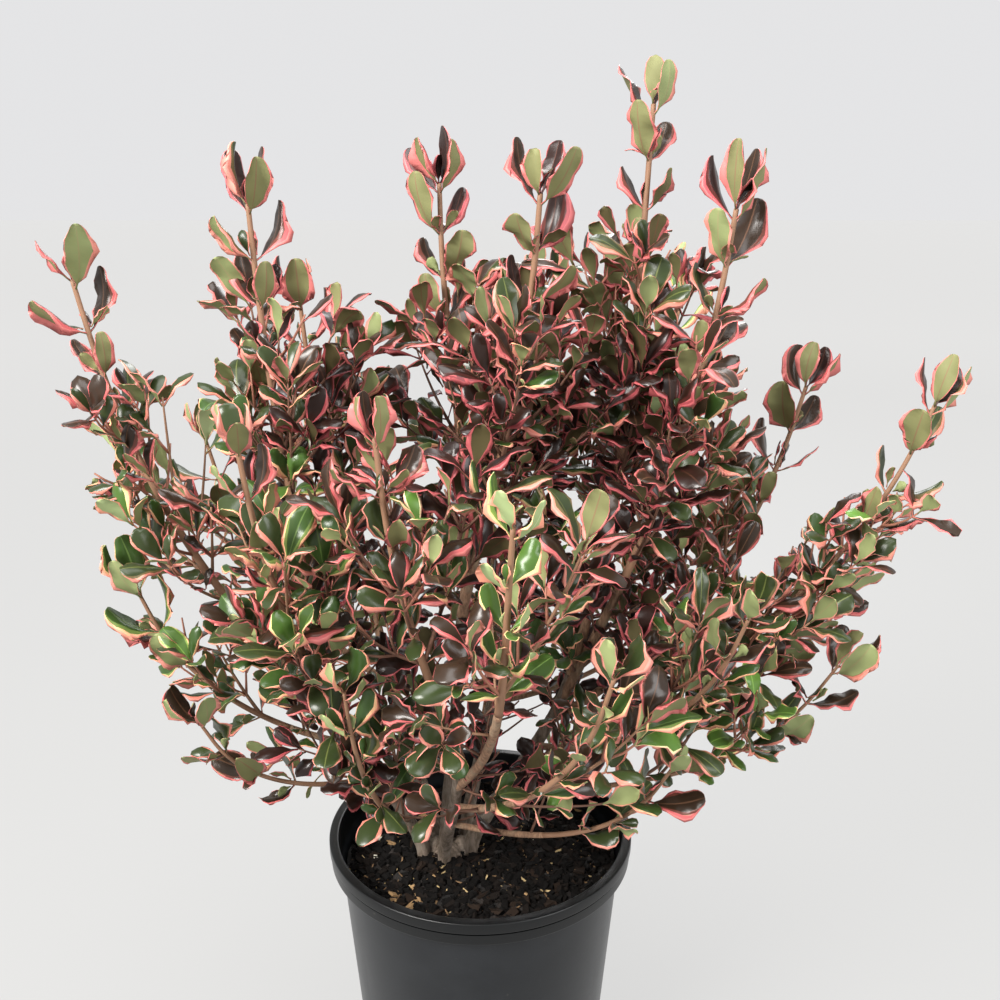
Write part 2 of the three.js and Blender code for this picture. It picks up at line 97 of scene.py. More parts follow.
# A shoot leaves its stem at a share of the stem's length. Its azimuth is seen from above, its reach and
# height are those of its top leaves, and bare is the share of it that is bough.
Shoot = namedtuple("Shoot", "name stem fork azimuth reach height bare", defaults=[0.3])
SHOOTS = [
    Shoot("top", "right", 1, 11, 0.103, 0.674),
    Shoot("right_high", "right", 0.88, -10, 0.146, 0.617),
    Shoot("right_middle", "right", 0.76, 16, 0.228, 0.502),
    Shoot("front_right", "right", 0.62, -40, 0.190, 0.410),
    Shoot("far_right", "right", 0.46, -2, 0.276, 0.502),
    Shoot("low_right", "right", 0.32, -7, 0.232, 0.338),
    Shoot("crest", "middle", 1, -48, 0.054, 0.625),
    Shoot("plume", "middle", 0.86, 112, 0.066, 0.632),
    Shoot("back_high", "middle", 0.7, 70, 0.140, 0.566),
    Shoot("horn", "left", 1, -175, 0.128, 0.620),
    Shoot("far_left", "left", 0.84, 180, 0.238, 0.577),
    Shoot("left_middle", "left", 0.68, -170, 0.212, 0.395),
    Shoot("low_left", "left", 0.5, -158, 0.184, 0.322),
    Shoot("front_left", "left", 0.34, -134, 0.168, 0.505),
    Shoot("front_high", "front", 1, -110, 0.140, 0.512),
    Shoot("front", "front", 0.8, -84, 0.192, 0.484, 0.52),
    Shoot("front_low", "front", 0.62, -68, 0.188, 0.402, 0.42),
    Shoot("front_foot", "front", 0.42, -44, 0.162, 0.318, 0.42),
    Shoot("front_left_low", "left", 0.22, -116, 0.152, 0.376),
    Shoot("back", "back", 1, 92, 0.176, 0.540),
    Shoot("back_right", "back", 0.82, 44, 0.206, 0.560),
    Shoot("low_back_right", "back", 0.62, 36, 0.238, 0.370),
    Shoot("low_back", "back", 0.42, 84, 0.214, 0.350),
    Shoot("back_left", "back_left", 1, 142, 0.156, 0.556),
    Shoot("left_back", "back_left", 0.8, 156, 0.214, 0.462),
    Shoot("low_back_left", "back_left", 0.56, 129, 0.204, 0.364),
]

SEED = 41
BOW = math.radians(34)
STEEPEST = math.radians(88)
HANDLE_SHARE = 0.36
SWAY_SHARE = 0.1
STEM_UPRIGHT = 0.16
STEM_FLARE = 0.25
STEM_FLARE_SHARE = 0.07
STEEP_RISE = 0.9

# The solids' larger leaves set where a path ends below its shoot's top.
SOLID_LEAF = {"lengths": (0.048, 0.060), "heights": (0.300, 0.600), "beyond": 0.8}

BOUGH_RADII = (0.0031, 0.0026)
BOUGH_RING_SPACING = 0.0025
LEADER_RADII = (0.0026, 0.0014)
# The soft end of a leader above the solid's own.
TIP_BEYOND = 0.017

# Side twigs stand in crossed pairs along a leader and get shorter towards its tip.
TWIG_SPACING = 0.017
TWIG_LONGEST = 0.100
TWIG_SHORTEST = 0.015
TWIG_FADE = 1.5
TWIG_LEAST = 0.014
TWIG_ANGLE = math.radians(38)
TWIG_ANGLE_SPREAD = math.radians(14)
TWIG_TURN_SPREAD = math.radians(26)
TWIG_LENGTH_SPREAD = 0.35
TWIG_LIFT = 0.8
TWIG_TRIALS = (1, 0.75, 0.55, 0.4)

# The crown's outline and the space of each shoot. The crown's underside rises outwards from over the rim,
# steeper on the left, and it stands higher at the front, where the stems show.
LEAF_BEYOND = 0.018
LEAST_REACH = 0.150
HANG_BELOW = 0.028
SKIRT = {"radius": 0.110, "height": 0.184, "front": 0.096, "rise": 0.82, "left": 0.04, "least": 0.232}
TWIG_INSIDE = 0.008
POT_CLEAR = 0.003
NEIGHBOUR_SHARE = 1.25
CROWDING = 0.0065

# The camera stands where the photo was taken from.
CAMERA_PLACE = Vector((0.0129, -0.6006, 0.5887))
CAMERA_DOWN = math.radians(16.06)
CAMERA_LENS = 37.0
CAMERA_SENSOR = 36.0

# Where the crown is open to the sky, as the front shows it: each place's position across and up, where the
# line of sight meets the plant's middle plane, and its radius.
OPEN_PLACES = [
    (0.214, 0.444, 0.020),
    (0.202, 0.422, 0.017),
    (0.190, 0.400, 0.014),
    (0.176, 0.380, 0.013),
    (0.185, 0.410, 0.012),
    (0.203, 0.222, 0.014),
    (0.171, 0.214, 0.018),
    (0.138, 0.213, 0.015),
    (-0.265, 0.428, 0.026),
    (-0.248, 0.397, 0.022),
    (-0.237, 0.351, 0.020),
    (-0.225, 0.289, 0.027),
    (-0.214, 0.236, 0.014),
    (-0.176, 0.196, 0.014),
    (-0.182, 0.510, 0.017),
    (-0.179, 0.462, 0.011),
    (-0.172, 0.437, 0.010),
    (-0.160, 0.375, 0.008),
    (-0.101, 0.561, 0.012),
    (-0.020, 0.470, 0.007),
    (0.123, 0.577, 0.012),
    (0.075, 0.305, 0.007),
    (-0.232, 0.446, 0.012),
    (-0.187, 0.466, 0.011),
    (-0.160, 0.432, 0.013),
    (-0.213, 0.384, 0.010),
    (-0.190, 0.351, 0.012),
    (-0.186, 0.285, 0.010),
    (-0.097, 0.543, 0.010),
    (-0.035, 0.488, 0.009),
    (-0.030, 0.435, 0.009),
    (0.125, 0.528, 0.009),
    (0.146, 0.251, 0.010),
    (0.107, 0.242, 0.009),
    (0.270, 0.388, 0.012),
]


# Numbers, paths and tubes

WORD = 2**32 - 1


def seeded_random(seed):
    """Numbers between 0 and 1 that are the same on every run, by the solids' own rule (mulberry32)."""
    state = seed & WORD

    def draw():
        nonlocal state
        state = (state + 0x6D2B79F5) & WORD
        mixed = (state ^ (state >> 15)) * (state | 1) & WORD
        mixed ^= (mixed + ((mixed ^ (mixed >> 7)) * (mixed | 61) & WORD)) & WORD
        return (mixed ^ (mixed >> 14)) / 2**32

    return draw


def about(draw, middle, spread):
    """A number up to a spread away from its middle."""
    return middle + (draw() - 0.5) * 2 * spread


def between(low, high, share):
    return low + (high - low) * min(max(share, 0), 1)


class Path:
    """A curve walked by shares of its length."""

    def __init__(self, points):
        self.points = np.array(points, float)
        steps = np.linalg.norm(np.diff(self.points, axis=0), axis=1)
        self.marks = np.concatenate(([0], np.cumsum(steps)))
        self.length = float(self.marks[-1])

    def spots(self, shares):
        walked = np.asarray(shares) * self.length
        return np.stack([np.interp(walked, self.marks, self.points[:, i]) for i in range(3)], axis=-1)

    def at(self, share):
        return Vector(self.spots(share))

    def heading(self, share):
        low = max(share - 0.01, 0)
        high = min(share + 0.01, 1)
        return (self.at(high) - self.at(low)).normalized()

    def part(self, start, end):
        return Path(self.spots(np.linspace(start, end, len(self.points))))


def bezier(*controls, steps=80):
    """The path that bends between these control points."""
    share = np.linspace(0, 1, steps)[:, None]
    layers = [np.broadcast_to(np.array(control, float), (steps, 3)) for control in controls]
    while len(layers) > 1:
        layers = [near + (far - near) * share for near, far in zip(layers, layers[1:])]
    return Path(layers[0])


def turned_from(first, second, angle):
    """The direction that lies an angle away from the first, towards the second at right angles to it."""
    return first * math.cos(angle) + second * math.sin(angle)


def outward_from(axis, turn):
    """The direction at right angles to an axis, turned round it."""
    reference = UP if abs(axis.z) < STEEP_RISE else RIGHT
    first = axis.cross(reference).normalized()
    return turned_from(first, axis.cross(first), turn)


def both_sides(axis, turn):
    """The directions of two opposite leaves or twigs."""
    return outward_from(axis, turn), outward_from(axis, turn + math.pi)


def round_turns(sides):
    """The angles of the corners of a round section."""
    return np.linspace(0, 2 * math.pi, sides, endpoint=False)


def on_circle(radius, turn):
    return radius * math.cos(turn), radius * math.sin(turn)


def new_object(name, data):
    made = bpy.data.objects.new(name, data)
    bpy.context.scene.collection.objects.link(made)
    return made


class Batch:
    """The points, triangles and finishes of one piece while it is made."""

    def __init__(self):
        self.points = []
        self.triangles = []
        self.finishes = []
        self.count = 0

    def add(self, points, triangles, finishes=0):
        points = np.asarray(points, float).reshape(-1, 3)
        triangles = np.asarray(triangles, int).reshape(-1, 3)
        self.points.append(points)
        self.triangles.append(triangles + self.count)
        self.finishes.append(np.broadcast_to(finishes, len(triangles)))
        self.count += len(points)

    def piece(self, name, materials, replaced=(), smooth=True):
        """The piece as an object that rides on the plant and stands for its solids."""
        mesh = bpy.data.meshes.new(name)
        mesh.from_pydata(np.concatenate(self.points), [], np.concatenate(self.triangles))
        mesh.polygons.foreach_set("material_index", np.concatenate(self.finishes).astype(np.int32))
        mesh.polygons.foreach_set("use_smooth", np.full(len(mesh.polygons), smooth))
        for material in materials:
            mesh.materials.append(material)
        mesh.update()
        made = new_object(name, mesh)
        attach(made, BODY)
        if replaced:
            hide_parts(*replaced)
        return made


def split_quads(quads):
    quads = np.asarray(quads, int)
    return np.concatenate((quads[:, [0, 1, 2]], quads[:, [0, 2, 3]]))


def tube_triangles(rings, sides):
    """The triangles of a tube whose rings come one after the other, with a point at each end after them."""
    ring, side = np.meshgrid(np.arange(rings - 1), np.arange(sides), indexing="ij")
    here = (ring * sides + side).ravel()
    beside = (ring * sides + (side + 1) % sides).ravel()
    walls = split_quads(np.stack((here, beside, beside + sides, here + sides), axis=1))
    around = np.arange(sides)
    after = (around + 1) % sides
    last = (rings - 1) * sides
    foot = np.full(sides, rings * sides)
    start = np.stack((foot, after, around), axis=1)
    end = np.stack((foot + 1, last + around, last + after), axis=1)
    return np.concatenate((walls, start, end))


def add_tube(batch, path, radius_at, sides, rings, relief=None, finish=0):
    """A round tapering limb along a path. Its relief pushes each point out of the round."""
    shares = np.linspace(0, 1, rings)
    centres = path.spots(shares)
    headings = np.gradient(centres, axis=0)
    headings /= np.linalg.norm(headings, axis=1)[:, None]
    first = np.array(outward_from(Vector(headings[0]), 0))
    turns = round_turns(sides)
    points = []
    for centre, heading, share in zip(centres, headings, shares):
        first = first - heading * first.dot(heading)
        first /= np.linalg.norm(first)
        out = np.cos(turns)[:, None] * first + np.sin(turns)[:, None] * np.cross(heading, first)
        radii = np.full(sides, radius_at(share))
        if relief:
            spots = centre + out * radii[0]
            radii += [relief(spot, share, turn) for spot, turn in zip(spots, turns)]
        points.append(centre + out * radii[:, None])
    points.append(centres[[0, -1]])
    batch.add(np.concatenate(points), tube_triangles(rings, sides), finish)


# Shader maths


class Value:
    """A shader value that plain arithmetic works on. Each operation adds a Math node."""

    def __init__(self, finish, socket):
        self.finish = finish
        self.socket = socket

    def _maths(self, operation, *values):
        return self.finish.node("ShaderNodeMath", {"operation": operation}, dict(enumerate(values)))

    def __add__(self, other):
        return self._maths("ADD", self, other)

    def __rsub__(self, other):
        return self._maths("SUBTRACT", other, self)

    def __mul__(self, other):
        return self._maths("MULTIPLY", self, other)

    __radd__ = __add__
    __rmul__ = __mul__

    def above(self, low, high):
        """A mask that rises from 0 to 1 as the value goes from low to high."""
        return self.finish.node(
            "ShaderNodeMapRange",
            {"interpolation_type": "SMOOTHSTEP"},
            {"Value": self, "From Min": low, "From Max": high},
        )


class Finish:
    """A material while its nodes are made."""

    def __init__(self, name, roughness, specular=0.5):
        self.material = bpy.data.materials.new(name)
        self.material.use_nodes = True
        self.nodes = self.material.node_tree.nodes
        self.links = self.material.node_tree.links
        self.feed("Roughness", roughness)
        self.feed("Specular IOR Level", specular)

    def feed(self, key, value):
        """Gives a value or a link to a socket of the shader itself."""
        self.set(self.nodes["Principled BSDF"], key, value)

    def set(self, node, key, value):
        if isinstance(value, Value):
            self.links.new(value.socket, node.inputs[key])
        else:
            node.inputs[key].default_value = value

    def node(self, kind, settings=None, inputs=None, output=0):
        made = self.nodes.new(kind)
        for setting, value in (settings or {}).items():
            setattr(made, setting, value)
        for key, value in (inputs or {}).items():
            self.set(made, key, value)
        return Value(self, made.outputs[output])

    def place(self, stretch=(1, 1, 1)):
        """The place on the object, stretched along its axes."""
        spot = self.node("ShaderNodeTexCoord", output="Object")
        return self.node("ShaderNodeVectorMath", {"operation": "MULTIPLY"}, {0: spot, 1: stretch})

    def noise(self, place, scale, detail=4, roughness=0.5):
        inputs = {"Vector": place, "Scale": scale, "Detail": detail, "Roughness": roughness}
        return self.node("ShaderNodeTexNoise", None, inputs)

    def mix(self, share, low, high):
        """A colour between two colours. The lower one may be a mix already."""
        under = low if isinstance(low, Value) else colour(low)
        inputs = {0: share, 6: under, 7: colour(high)}
        return self.node("ShaderNodeMix", {"data_type": "RGBA"}, inputs, output=2)

    def bump(self, height, strength, distance):
        inputs = {"Height": height, "Strength": strength, "Distance": distance}
        self.feed("Normal", self.node("ShaderNodeBump", None, inputs))


def colour(code):
    """A colour from its usual web number, as the light that it sends back."""
    parts = [(code >> shift & 0xFF) / 0xFF for shift in (16, 8, 0)]
    linear = [part / 12.92 if part <= 0.04045 else ((part + 0.055) / 1.055) ** 2.4 for part in parts]
    return (*linear, 1)


# Finishes


def plain(name, code, roughness, specular=0.3):
    finish = Finish(name, roughness, specular)
    finish.feed("Base Color", colour(code))
    return finish.material


# The roughness and the sheen of each part of a leaf: the face is waxy, the back is dull. The flush lies
# between the face and the margin, and the edge is outermost.
LEAF_GLOSS = {
    "face": (0.29, 0.34),
    "rib": (0.36, 0.3),
    "flush": (0.3, 0.32),
    "margin": (0.42, 0.28),
    "edge": (0.45, 0.25),
    "back": (0.62, 0.2),
    "back_rib": (0.6, 0.2),
}
LEAF_PARTS = list(LEAF_GLOSS)
# Each tint gives the colour of each part. The last tints are those of the variegated green leaves.
Tint = namedtuple("Tint", ["name", *LEAF_PARTS])
TINTS = [
    # The first tint is a darker copy of the night tint: painted shade for sprays deep in the crown, and the
    # darkest tone for a few other leaves.
    Tint("dark_and_shaded", 0x1F110C, 0x382017, 0x371814, 0x7C3438, 0xA04E50, 0x463F27, 0x523C2A),
    Tint("night", 0x251511, 0x472A21, 0x502520, 0xA84B50, 0xC46C6D, 0x595337, 0x684C38),
    Tint("plum", 0x2B1F16, 0x543B2B, 0x5F342B, 0xBA595A, 0xCA736F, 0x74754E, 0x7A664A),
    Tint("bronze", 0x2B351B, 0x555C31, 0x5E5233, 0xC47666, 0xD08679, 0x7F885B, 0x86835C),
    Tint("moss", 0x2F441D, 0x506634, 0x5E7038, 0xD6A67C, 0xDA8D78, 0x949E6A, 0x9EA877),
    Tint("green", 0x3F5A24, 0x64823A, 0x7A9446, 0xDDCB8C, 0xE69A80, 0x93A271, 0xAABA8A),
    Tint("fresh", 0x527430, 0x789A4A, 0x94AE60, 0xE4D8A4, 0xEABEA0, 0x9CA97C, 0xB8C69A),
]


def leaf_finishes():
    """The finishes of every tint, one after the other."""
    return [
        plain(f"leaf_{part}_{tint.name}", getattr(tint, part), *gloss)
        for tint in TINTS
        for part, gloss in LEAF_GLOSS.items()
    ]


def twig_finishes():
    return [
        plain("twig_young", 0x8F5F4D, 0.55),
        plain("twig_tan", 0x82624C, 0.6),
        # The darkest bark is painted shade, for twigs and sprouts deep in the crown.
        plain("twig_in_shade", 0x684A3C, 0.65),
    ]


def bark_finish(name, low, high, patch, scale):
    """Bark with pale streaks along the limb, darker furrows and small pores."""
    finish = Finish(name, 0.85)
    along = finish.place((1, 1, 0.22))
    streaks = finish.noise(along, 420 * scale, 6, 0.62)
    furrows = finish.noise(along, 900 * scale, 4, 0.7)
    patches = finish.noise(finish.place(), 60 * scale, 3)
    pores = finish.noise(finish.place((1, 1, 1.6)), 1500, 2)
    base = finish.mix(streaks.above(0.35, 0.68), low, high)
    aged = finish.mix(patches.above(0.5, 0.66) * 0.6, base, patch)
    finish.feed("Base Color", finish.mix(furrows.above(0.56, 0.72) * 0.65, aged, 0x3B3029))
    finish.bump(streaks + 0.6 * furrows + 0.3 * pores, 0.5, 0.0009)
    return finish.material


def pot_finish():
    """Satin black plastic, greyer below its band, with a faint dusting, rubbed patches and fine scuffs."""
    finish = Finish("pot_plastic", 0.4, 0.35)
    height = finish.node("ShaderNodeSeparateXYZ", None, {0: finish.place()}, output=2)
    dusting = finish.noise(finish.place(), 26, 5, 0.6)
    grime = finish.noise(finish.place(), 140, 6, 0.7)
    scuffs = finish.noise(finish.place((1, 1, 9)), 260, 3, 0.6)
    wall = finish.mix(dusting.above(0.4, 0.75), 0x101215, 0x17191C)
    base = finish.mix(height.above(BAND_FOOT - 0.001, BAND_FOOT + 0.001), wall, 0x040506)
    spotted = finish.mix(grime.above(0.66, 0.74) * 0.35, base, 0x55524C)
    finish.feed("Base Color", finish.mix(scuffs.above(0.7, 0.78) * 0.3, spotted, 0x6A6A6A))
    finish.feed("Roughness", 0.25 + dusting * 0.12 + grime * 0.06)
    finish.bump(grime * 0.5 + scuffs, 0.12, 0.0003)
    return finish.material


def mix_finish():
    """Damp composted bark, nearly black, with brown crumbs."""
    finish = Finish("potting_mix_crumb", 0.9)
    lumps = finish.noise(finish.place(), 120, 6, 0.7)
    crumbs = finish.noise(finish.place(), 520, 5, 0.7)
    base = finish.mix(lumps.above(0.38, 0.66), 0x0A0807, 0x1F1712)
    finish.feed("Base Color", finish.mix(crumbs.above(0.58, 0.7) * 0.5, base, 0x3C2C22))
    finish.feed("Roughness", 0.95 - crumbs * 0.3)
    finish.bump(lumps + 0.6 * crumbs, 0.8, 0.0022)
    return finish.material


def floor_finish():
    """Plain pale paint. It sends back more light far out, where the lamps don't reach it."""
    finish = Finish("floor_paint", 0.75)
    spot = finish.place()
    distance = finish.node("ShaderNodeVectorMath", {"operation": "LENGTH"}, {0: spot}, output=1)
    cloud = finish.noise(spot, 3, 3)
    near = finish.mix(cloud, 0x363635, 0x393938)
    finish.feed("Base Color", finish.mix(distance.above(1.0, 5.0), near, 0x605F5D))
    finish.feed("Emission Color", (1, 0.997, 0.988, 1))
    finish.feed("Emission Strength", 0.612)
    return finish.material


# Pot and potting mix


def wall_radius(height):
    """The inner face of the pot's wall at a height."""
    rise = height / BAND_FOOT * (SHOULDER_RADIUS - BASE_RADIUS)
    return BASE_RADIUS + rise - WALL


def rounded(profile, corners, steps=4):
    """A profile of radius and height whose named corners are rounded by the fillet."""
    points = [Vector(point) for point in profile]
    made = []
    for i, point in enumerate(points):
        if i not in corners:
            made.append(point)
            continue
        before = (points[i - 1] - point).normalized() * FILLET
        after = (points[i + 1] - point).normalized() * FILLET
        for step in range(steps + 1):
            t = step / steps
            made.append(point + before * (1 - t) ** 2 + after * t**2)
    return made


def add_turned(batch, profile, sides):
    """A closed body turned about the upright axis, from a profile that starts and ends on it."""
    turns = round_turns(sides)
    points = [(*on_circle(radius, turn), height) for radius, height in profile[1:-1] for turn in turns]
    points += [(0, 0, profile[0][1]), (0, 0, profile[-1][1])]
    batch.add(points, tube_triangles(len(profile) - 2, sides))


def cut_drain_holes(pot):
    """Drills the drain holes in the foot of the pot's wall."""
    drills = Batch()
    for hole in range(DRAIN_HOLES):
        out = Vector((*on_circle(1, (hole + 0.5) * 2 * math.pi / DRAIN_HOLES), 0))
        start = out * (BASE_RADIUS - 3 * WALL) + UP * DRAIN_HOLE_HEIGHT
        drill = Path([start, start + out * 6 * WALL])
        add_tube(drills, drill, lambda share: DRAIN_HOLE_RADIUS, sides=32, rings=2)
    tool = drills.piece("drain_drills", [])
    cut = pot.modifiers.new("drain_holes", "BOOLEAN")
    cut.operation = "DIFFERENCE"
    cut.solver = "EXACT"
    cut.object = tool
    bpy.context.view_layer.update()
    shaped = pot.evaluated_get(bpy.context.evaluated_depsgraph_get())
    mesh = bpy.data.meshes.new_from_object(shaped)
    pot.modifiers.remove(cut)
    pot.data = mesh
    bpy.data.objects.remove(tool)


def make_pot():
    """The nursery pot: floor, tapered wall, stepped band with its groove, and a rounded lip."""
    ring_inside = BASE_RADIUS - FOOT_RING["width"]
    profile = [
        (0, FOOT_RING["height"]),
        (ring_inside - FOOT_RING["slope"], FOOT_RING["height"]),
        (ring_inside, 0),
        (BASE_RADIUS, 0),
        (SHOULDER_RADIUS, BAND_FOOT),
        (BAND_RADIUS, BAND_FOOT),
        (BAND_RADIUS, LIP_FOOT - GROOVE),
        (BAND_RADIUS - GROOVE, LIP_FOOT - GROOVE),
        (BAND_RADIUS - GROOVE, LIP_FOOT),
        (RIM_RADIUS, LIP_FOOT),
        (RIM_RADIUS, POT_HEIGHT),
        (RIM_INNER_RADIUS, POT_HEIGHT),
        (wall_radius(BAND_FOOT) + 0.001, BAND_FOOT),
        (wall_radius(FLOOR), FLOOR),
        (0, FLOOR),
    ]
    corners = (3, 5, 9, 10, 11)
    batch = Batch()
    add_turned(batch, rounded(profile, corners), POT_SIDES)
    pot = batch.piece("nursery_pot", [pot_finish()], ["pot"])
    cut_drain_holes(pot)
    pot.data.polygons.foreach_set("use_smooth", np.full(len(pot.data.polygons), True))
    bend = pot.modifiers.new("crisp_corners", "EDGE_SPLIT")
    bend.split_angle = math.radians(32)


def mix_height(place):
    """The lumpy top of the potting mix."""
    radius = math.hypot(place[0], place[1])
    outwards = (radius - MIX_LEVEL_RADIUS) / (MIX_EDGE_RADIUS - MIX_LEVEL_RADIUS)
    dip = between(0, MIX_LEVEL - MIX_EDGE_LEVEL, outwards)
    spot = Vector((place[0], place[1], 0))
    lumps = 0.0026 * noise.fractal(spot * 60, 1, 2, 4) + 0.0012 * noise.noise(spot * 260)
    return MIX_LEVEL - dip + lumps


def make_potting_mix():
    """The potting mix, as a closed body with a lumpy top."""
    sides = 180
    rings = 70
    foot = FLOOR + CLEARANCE
    turns = round_turns(sides)
    points = [(*on_circle(wall_radius(foot) - CLEARANCE, turn), foot) for turn in turns]
    for radius in np.linspace(0.002, wall_radius(MIX_EDGE_LEVEL) - CLEARANCE, rings)[::-1]:
        spots = [on_circle(radius, turn) for turn in turns]
        points += [(*spot, mix_height(spot)) for spot in spots]
    points += [(0, 0, foot), (0, 0, mix_height((0, 0)))]
    batch = Batch()
    batch.add(points, tube_triangles(rings + 1, sides))
    batch.piece("potting_mix_top", [mix_finish()], ["potting_mix"])


def spin(angle, first, second):
    """The matrix that turns points by an angle from one axis towards another."""
    matrix = np.eye(3)
    matrix[first, first] = math.cos(angle)
    matrix[second, second] = math.cos(angle)
    matrix[first, second] = math.sin(angle)
    matrix[second, first] = -math.sin(angle)
    return matrix


def crumb_points(rng, size):
    """The eight corners of a rough splinter."""
    corners = np.array([(x, y, z) for z in (-1, 1) for y in (-1, 1) for x in (-1, 1)], float)
    rough = corners * (1 + rng.uniform(-0.35, 0.35, (8, 3)))
    turn = rng.uniform(0, 2 * math.pi)
    tilt = rng.normal(0, 0.35)
    roll = rng.normal(0, 0.35)
    return rough * size / 2 @ spin(roll, 1, 2) @ spin(tilt, 0, 2) @ spin(turn, 0, 1)


CRUMB_FACES = split_quads(
    [(0, 2, 3, 1), (4, 5, 7, 6), (0, 1, 5, 4), (2, 6, 7, 3), (0, 4, 6, 2), (1, 3, 7, 5)]
)
# The kinds of crumb in the mix. The size is length, width and height.
Crumb = namedtuple("Crumb", "name colour count size")
CRUMBS = [
    Crumb("crumb_black", 0x080605, 1500, (0.0046, 0.0030, 0.0024)),
    Crumb("crumb_brown", 0x120D0A, 700, (0.0050, 0.0030, 0.0021)),
    Crumb("bark_chip", 0x211812, 90, (0.0085, 0.0046, 0.0020)),
    Crumb("wood_sliver", 0x9A7C58, 16, (0.0120, 0.0030, 0.0014)),
    Crumb("fibre", 0x6E573F, 230, (0.0085, 0.0006, 0.0005)),
    Crumb("straw", 0xB39C72, 120, (0.0080, 0.0007, 0.0006)),
    Crumb("perlite", 0xCFCABA, 16, (0.0026, 0.0023, 0.0019)),
]


def make_mix_crumbs():
    """Bark crumbs, slivers, straw and a little perlite strewn over the potting mix."""
    rng = np.random.default_rng(SEED)
    batch = Batch()
    reach = wall_radius(MIX_EDGE_LEVEL) - CRUMBS_FROM_WALL
    for kind, crumb in enumerate(CRUMBS):
        for _ in range(crumb.count):
            radius = reach * math.sqrt(rng.uniform())
            spot = on_circle(radius, rng.uniform(0, 2 * math.pi))
            scale = rng.uniform(0.45, 1.35)
            points = crumb_points(rng, np.array(crumb.size) * scale)
            lift = mix_height(spot) + crumb.size[2] * scale * 0.3
            batch.add(points + (*spot, lift), CRUMB_FACES, kind)
    finishes = [plain(crumb.name, crumb.colour, 0.9, 0.15) for crumb in CRUMBS]
    batch.piece("mix_crumbs", finishes, smooth=False)


# Stems and boughs


def stem_path(stem):
    foot = Vector((*stem.foot, MIX_LEVEL + CLEARANCE))
    head = Vector(stem.head)
    length = (head - foot).length
    lean = ((head - foot).normalized() + UP).normalized()
    return bezier(foot, foot + UP * length * STEM_UPRIGHT, head - lean * length * HANDLE_SHARE, head)


def solid_leaf_length(height):
    low, high = SOLID_LEAF["heights"]
    return between(*SOLID_LEAF["lengths"], (height - low) / (high - low))


def shoot_path(shoot, stem, draw):
    """The whole path of a shoot, from its stem to the foot of its top leaves."""
    fork = stem.at(shoot.fork)
    crown = Vector((*on_circle(shoot.reach, math.radians(shoot.azimuth)), shoot.height))
    chord = crown - fork
    horizontal = Vector((chord.x, chord.y, 0)).normalized()
    elevation = math.atan2(chord.z, math.hypot(chord.x, chord.y))
    bow = BOW * math.cos(elevation)
    set_off = turned_from(horizontal, UP, elevation - bow)
    arrival = turned_from(horizontal, UP, min(elevation + bow, STEEPEST))
    tip = crown - arrival * SOLID_LEAF["beyond"] * solid_leaf_length(shoot.height)
    length = (tip - fork).length
    sideways = horizontal.cross(UP) * (draw() - 0.5) * 2 * SWAY_SHARE * length
    return bezier(
        fork,
        fork + set_off * length * HANDLE_SHARE + sideways,
        tip - arrival * length * HANDLE_SHARE,
        tip,
    )


STEM_PATHS = {name: stem_path(stem) for name, stem in STEMS.items()}
SHOOT_PATHS = [
    shoot_path(shoot, STEM_PATHS[shoot.stem], seeded_random(SEED + i)) for i, shoot in enumerate(SHOOTS)
]
BOUGHS = [path.part(0, shoot.bare) for path, shoot in zip(SHOOT_PATHS, SHOOTS)]
LEADERS = [path.part(shoot.bare, 1) for path, shoot in zip(SHOOT_PATHS, SHOOTS)]


def bark_relief(depth, seed):
    """Ridges that run along a limb, with swellings where leaves once stood."""

    def relief(spot, share, turn):
        around = Vector((math.cos(turn) * 1.6, math.sin(turn) * 1.6, share * 9 + seed))
        fine = Vector(spot) * 420
        knots = Vector((math.cos(turn), math.sin(turn), share * 26 + seed))
        swell = max(noise.noise(knots), 0) ** 2
        return depth * (noise.noise(around * 1.8) + 0.5 * noise.noise(fine) + 1.6 * swell)

    return relief


def vigour_of(shoot):
    """How thick a shoot's limbs are: the low ones are thinner."""
    return between(0.62, 1.05, (shoot.height - 0.30) / 0.28)


# The knots of old wood between the stems: where each stands, and its radius.
KNOTS = [((-0.022, -0.004), 0.011), ((-0.031, 0.003), 0.009), ((-0.014, 0.004), 0.009)]
STEM_SUNK = 0.008
KNOT_SUNK = 0.006
KNOT_HEIGHT = 0.014


def make_stems():
    """The woody stems, widened at the foot, and the knotted crown that they rise from."""
    batch = Batch()
    for seed, (name, stem) in enumerate(STEMS.items()):
        path = STEM_PATHS[name]
        sunk = Path(np.concatenate(([path.points[0] - (0, 0, STEM_SUNK)], path.points)))

        def radius_at(share, stem=stem):
            radius = between(stem.foot_radius, stem.head_radius, share)
            return radius * (1 + STEM_FLARE * math.exp(-share / STEM_FLARE_SHARE))

        relief = bark_relief(0.00045, seed * 7.3)
        add_tube(batch, sunk, radius_at, sides=22, rings=90, relief=relief)
    for seed, (spot, radius) in enumerate(KNOTS):
        foot = Vector((*spot, MIX_LEVEL - KNOT_SUNK))
        lean = Vector((about(seeded_random(seed), 0, 0.003), 0, KNOT_HEIGHT))
        knot = Path([foot, foot + lean * 0.5, foot + lean])

        def dome(share, radius=radius):
            return radius * math.sqrt(max(1 - share**2, 0.02))

        add_tube(batch, knot, dome, sides=22, rings=14, relief=bark_relief(0.0016, seed + 50))
    nodes = [f"stem_{name}" for name in STEMS]
    bark = bark_finish("stem_bark", 0x4A3E31, 0x74665A, 0x81766A, 1)
    batch.piece("stems", [bark], nodes)


